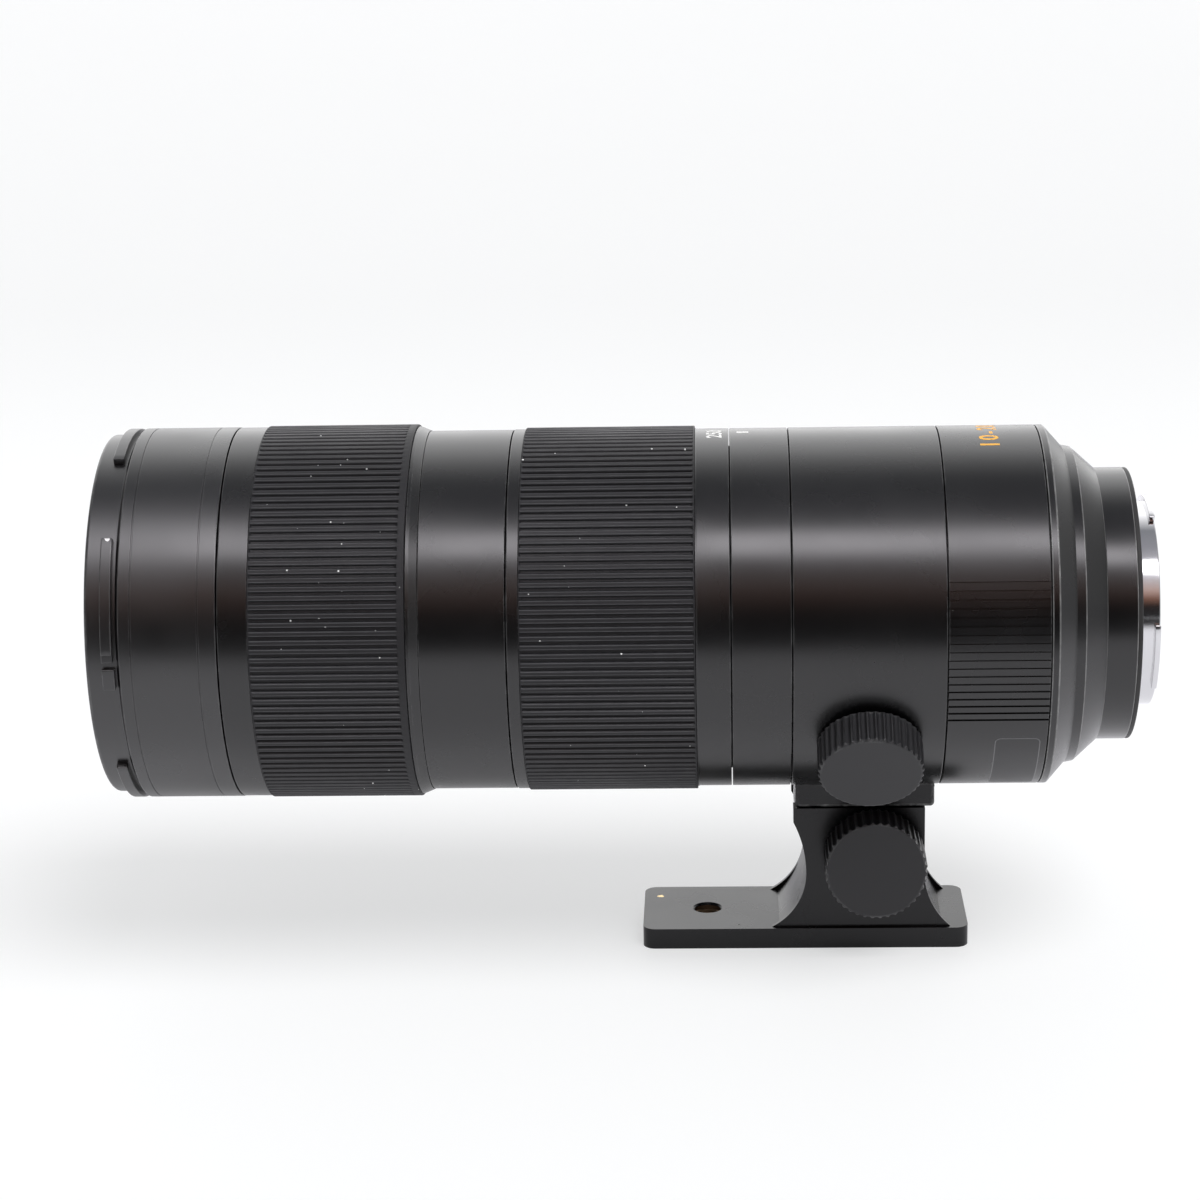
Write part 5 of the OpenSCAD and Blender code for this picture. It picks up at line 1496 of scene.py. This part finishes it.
@dataclass
class Studio:
    """Pale floor, soft light and the camera of the photograph."""

    camera_place: tuple[float, float, float] = (-94.12, -707.14, 202.77)
    yaw: float = -2.401
    pitch: float = 15.841
    roll: float = -1.245
    focal_length: float = 93.2
    sensor_width: float = 36.0
    floor_half: float = 6.0
    floor_edge: tuple[float, float] = (-0.62, -0.26)
    floor_side: tuple[float, float] = (0.2, 0.6)
    # Span and depth of the painted shade that darkens the floor towards the back.
    floor_back: tuple[float, float] = (0.15, 0.9)
    floor_back_painted_shade: float = 0.14
    floor_glow: float = 0.56
    gloss_glow: float = -0.26
    room_strength: float = 0.45
    shade_elevation: float = 70.0
    shade_angle: float = 36.0
    shade_strength: float = 2.0
    shade_turn: float = 22.0
    lamp_span: tuple[float, float, float, float] = (46.0, 52.0, 60.0, 66.0)
    lamp_strength: float = 7.5
    lamp_spread: float = 120.0
    lamp_spread_start: float = 0.08
    lamp_fall: float = 3.5
    side_start: float = 0.42
    side_end: float = 0.8

    def build(self) -> None:
        """Sets up the view transform, the floor, the light and the camera."""
        bpy.context.scene.view_settings.view_transform = "Standard"
        self._camera()
        self._floor()
        self._shade()
        self._room()

    def _camera(self) -> None:
        """Camera from its place and its yaw, pitch and roll."""
        yaw, pitch, roll = (math.radians(a) for a in (self.yaw, self.pitch, self.roll))
        ahead = np.array([math.sin(yaw) * math.cos(pitch), math.cos(yaw) * math.cos(pitch), -math.sin(pitch)])
        right = np.array([math.cos(yaw), -math.sin(yaw), 0.0])
        up = np.cross(right, ahead)
        turned_right = math.cos(roll) * right + math.sin(roll) * up
        turned_up = -math.sin(roll) * right + math.cos(roll) * up
        data = bpy.data.cameras.new("photo_camera")
        data.lens = self.focal_length
        data.sensor_width = self.sensor_width
        data.clip_start = 0.01
        camera = bpy.data.objects.new("photo_camera", data)
        matrix = np.eye(4)
        matrix[:3, :3] = np.stack([turned_right, turned_up, -ahead], axis=1)
        matrix[:3, 3] = np.array(self.camera_place) * MM
        camera.matrix_world = Matrix(matrix.tolist())
        bpy.context.scene.camera = add_to_scene(camera)

    def _floor(self) -> None:
        """Pale floor at the underside of the foot, with painted shade that darkens its glow towards the back;
        reflections see a painted floor, brighter near the part, dark far in front and grey far to either side.
        """
        low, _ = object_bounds()
        half, level = self.floor_half, low[2]
        mesh = bpy.data.meshes.new("floor")
        corners = [(-half, -half, level), (half, -half, level), (half, half, level), (-half, half, level)]
        mesh.from_pydata(corners, [], [(0, 1, 2, 3)])
        floor = add_to_scene(bpy.data.objects.new("floor", mesh))
        material, tree, shader, spot = start_material("pale floor")
        path = tree.add("LightPath")
        pale = tree.mix(tree.noise(spot, 3.0), (0.45, 0.453, 0.457, 1.0), (0.444, 0.447, 0.451, 1.0))
        # Painted reflection: reflections see the floor in a brighter colour than the camera does.
        pale = tree.mix(path.outputs["Is Glossy Ray"], pale, (0.92, 0.91, 0.96, 1.0))
        tree.feed(shader.inputs["Base Color"], pale)
        tree.feed(shader.inputs["Roughness"], 0.6)
        tree.feed(shader.inputs["Specular IOR Level"], 0.1)
        tree.feed(shader.inputs["Emission Color"], (0.99, 0.995, 1.0, 1.0))
        glow = tree.math("MULTIPLY_ADD", path.outputs["Is Glossy Ray"], self.gloss_glow, self.floor_glow)
        dark = tree.add("Emission")
        parts = tree.add("SeparateXYZ")
        tree.feed(parts.inputs[0], spot)
        # Painted shade: the floor's glow drops towards the back.
        behind = tree.ramp(parts.outputs[1], *self.floor_back, 0.0, self.floor_back_painted_shade)
        tree.feed(shader.inputs["Emission Strength"], tree.math("SUBTRACT", glow, behind))
        # Painted reflection: far in front reflections see a dark floor, far to either side a grey one.
        away = tree.ramp(parts.outputs[1], *self.floor_edge, 1.0, 0.0)
        beside = tree.ramp(parts.outputs[0], *self.floor_side)
        tree.feed(dark.inputs["Color"], tree.mix(beside, (0.035, 0.034, 0.034, 1.0), (0.5, 0.5, 0.52, 1.0)))
        blend = tree.add("MixShader")
        far = tree.math("MAXIMUM", away, beside)
        tree.feed(blend.inputs[0], tree.math("MULTIPLY", far, path.outputs["Is Glossy Ray"]))
        tree.feed(blend.inputs[1], shader.outputs[0])
        tree.feed(blend.inputs[2], dark.outputs[0])
        tree.feed(material.node_tree.nodes["Material Output"].inputs["Surface"], blend.outputs[0])
        mesh.materials.append(material)
        floor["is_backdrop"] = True

    def _shade(self) -> None:
        """Broad lamp high on the camera's side, towards the rear, for a soft shadow; gloss leaves it out."""
        data = bpy.data.lights.new("shade_lamp", "SUN")
        data.energy = self.shade_strength
        data.angle = math.radians(self.shade_angle)
        lamp = bpy.data.objects.new("shade_lamp", data)
        lamp.rotation_euler = (math.radians(90 - self.shade_elevation), math.radians(self.shade_turn), 0.0)
        lamp.visible_glossy = False
        add_to_scene(lamp)

    def _room(self) -> None:
        """Even room light; the camera and glass see white, and gloss sees a room with a long lamp in it.

        Gloss sees a colour by the angle up from the horizon in front, over the top and down to the horizon behind,
        plus the lamp between two of those angles. The lamp is wider towards the lens's front. Far to either side
        the room fades to an even grey.
        """
        world = bpy.data.worlds.new("studio_room")
        bpy.context.scene.world = world
        world.use_nodes = True
        tree = NodeTree(world.node_tree)
        parts = tree.add("SeparateXYZ")
        tree.feed(parts.inputs[0], tree.add("TexCoord").outputs["Generated"])
        back = tree.math("MULTIPLY", parts.outputs[1], -1.0)
        angle = tree.math("DEGREES", tree.math("ARCTAN2", parts.outputs[2], back))
        side = tree.ramp(tree.math("ABSOLUTE", parts.outputs[0]), self.side_start, self.side_end)
        seen = tree.mix(side, self._ramp(tree, angle), (0.62, 0.62, 0.63, 1.0))
        rise = tree.ramp(angle, *self.lamp_span[:2])
        left = tree.math("SUBTRACT", tree.math("MULTIPLY", parts.outputs[0], -1.0), self.lamp_spread_start)
        left = tree.math("MAXIMUM", left, 0.0)
        wider = tree.math("MULTIPLY", left, self.lamp_spread)
        fall = tree.ramp(tree.math("SUBTRACT", angle, wider), *self.lamp_span[2:], 1.0, 0.0)
        weaker = tree.math("MULTIPLY_ADD", left, -self.lamp_fall, 1.0, clamp=True)
        ahead = tree.math("MULTIPLY", tree.math("SUBTRACT", 1.0, side), weaker)
        strength = tree.math("MULTIPLY", ahead, self.lamp_strength)
        lamp = tree.math("MULTIPLY", tree.math("MULTIPLY", rise, fall), strength)
        tint = tree.add("VectorMath", operation="SCALE")
        tree.feed(tint.inputs[0], (1.0, 0.965, 1.01))
        tree.feed(tint.inputs["Scale"], lamp)
        total = tree.add("VectorMath", operation="ADD")
        tree.feed(total.inputs[0], seen)
        tree.feed(total.inputs[1], tint.outputs[0])
        path = tree.add("LightPath")
        clear = tree.math("MAXIMUM", path.outputs["Is Camera Ray"], path.outputs["Is Transmission Ray"])
        lit = tree.mix(path.outputs["Is Glossy Ray"], (self.room_strength,) * 3 + (1.0,), total.outputs[0])
        shader = world.node_tree.nodes["Background"]
        tree.feed(shader.inputs["Color"], tree.mix(clear, lit, (0.95, 0.963, 0.957, 1.0)))

    @staticmethod
    def _ramp(tree: NodeTree, angle: bpy.types.NodeSocket) -> bpy.types.NodeSocket:
        """Room colours by the angle in degrees, held at half their strength so that none is above one."""
        stops = ((-180, (0.65, 0.65, 0.65)), (-90, (0.5, 0.5, 0.5)), (-20, (0.05, 0.05, 0.05)),
                 (0, (0.012, 0.012, 0.013)), (12, (0.014, 0.012, 0.012)), (20, (0.14, 0.07, 0.05)),
                 (29, (0.36, 0.25, 0.22)), (45, (0.42, 0.41, 0.43)), (80, (0.22, 0.22, 0.24)),
                 (104, (0.18, 0.185, 0.2)), (118, (0.5, 0.5, 0.51)), (134, (0.95, 0.95, 0.96)),
                 (180, (0.95, 0.95, 0.95)))
        ramp = tree.add("ValToRGB")
        tree.feed(ramp.inputs[0], tree.math("MULTIPLY_ADD", angle, 1 / 360, 0.5))
        elements = ramp.color_ramp.elements
        while len(elements) < len(stops):
            elements.new(0.5)
        for element, (degrees, colour) in zip(elements, stops):
            element.position = (degrees + 180) / 360
            element.color = (*colour, 1.0)
        double = tree.add("VectorMath", operation="SCALE")
        tree.feed(double.inputs[0], ramp.outputs[0])
        tree.feed(double.inputs["Scale"], 2.0)
        return double.outputs[0]


def focus_assembly() -> GripRing:
    """Focus ring: its rear band slopes down to the middle barrel."""
    return GripRing("focus", Body.FOCUS, "focus_ring", "focus_grip", 43.7, 44.0,
                    ((0.05, 43.55, 0.2), (0.9, 43.3, 0.5), (2.9, 42.45, 0.2)), 137,
                    end_fade=(0.8, 1.0), end_drop=(0.2, 0.3), lip=(0.25, 1.6), lip_out=0.75)


def zoom_assembly() -> GripRing:
    """Zoom ring: its rear band is the scale."""
    return GripRing("zoom", Body.ZOOM, "zoom_ring", "zoom_grip", 42.5, 42.85,
                    ((0.05, 42.3, 0.1), (0.5, 42.15, 0.1)), 133, end_fade=(0.6, 0.7), end_drop=(0.15, 0.2),
                    lip=(0.2, 0.3))


def knobs() -> list[Knob]:
    """Both clamp knobs, on the axes that the joints give them."""
    drop = math.radians(32)
    out = (0.0, -math.cos(drop), -math.sin(drop))
    base = (-61.7, 42.55 * out[1], 42.55 * out[2])
    return [Knob("collar_knob_cap", Body.COLLAR_KNOB, "collar_knob", base, out, 8.7),
            Knob("foot_knob_cap", Body.FOOT_KNOB, "foot_knob", (-59.5, -14.65, -57.6), (0.0, -1.0, 0.0), 10.0)]


def main() -> None:
    """Builds the studio, then each sub-assembly."""
    logging.basicConfig(level=logging.INFO, format="%(name)s: %(message)s")
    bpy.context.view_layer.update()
    Studio().build()
    shop = Workshop()
    assemblies = [FrontBarrel(), focus_assembly(),
                  PlainRing("middle_barrel_shell", Body.BARREL, "middle_barrel", 42.4, 38.05),
                  zoom_assembly(), PlainRing("index_ring_shell", Body.BARREL, "index_ring", 42.15, 38.05),
                  TripodCollar(), *knobs(), Foot(), RearBarrel(), Bayonet(), EndGlass(), Markings()]
    for assembly in assemblies:
        assembly.build(shop)


if __name__ == "__main__":
    main()
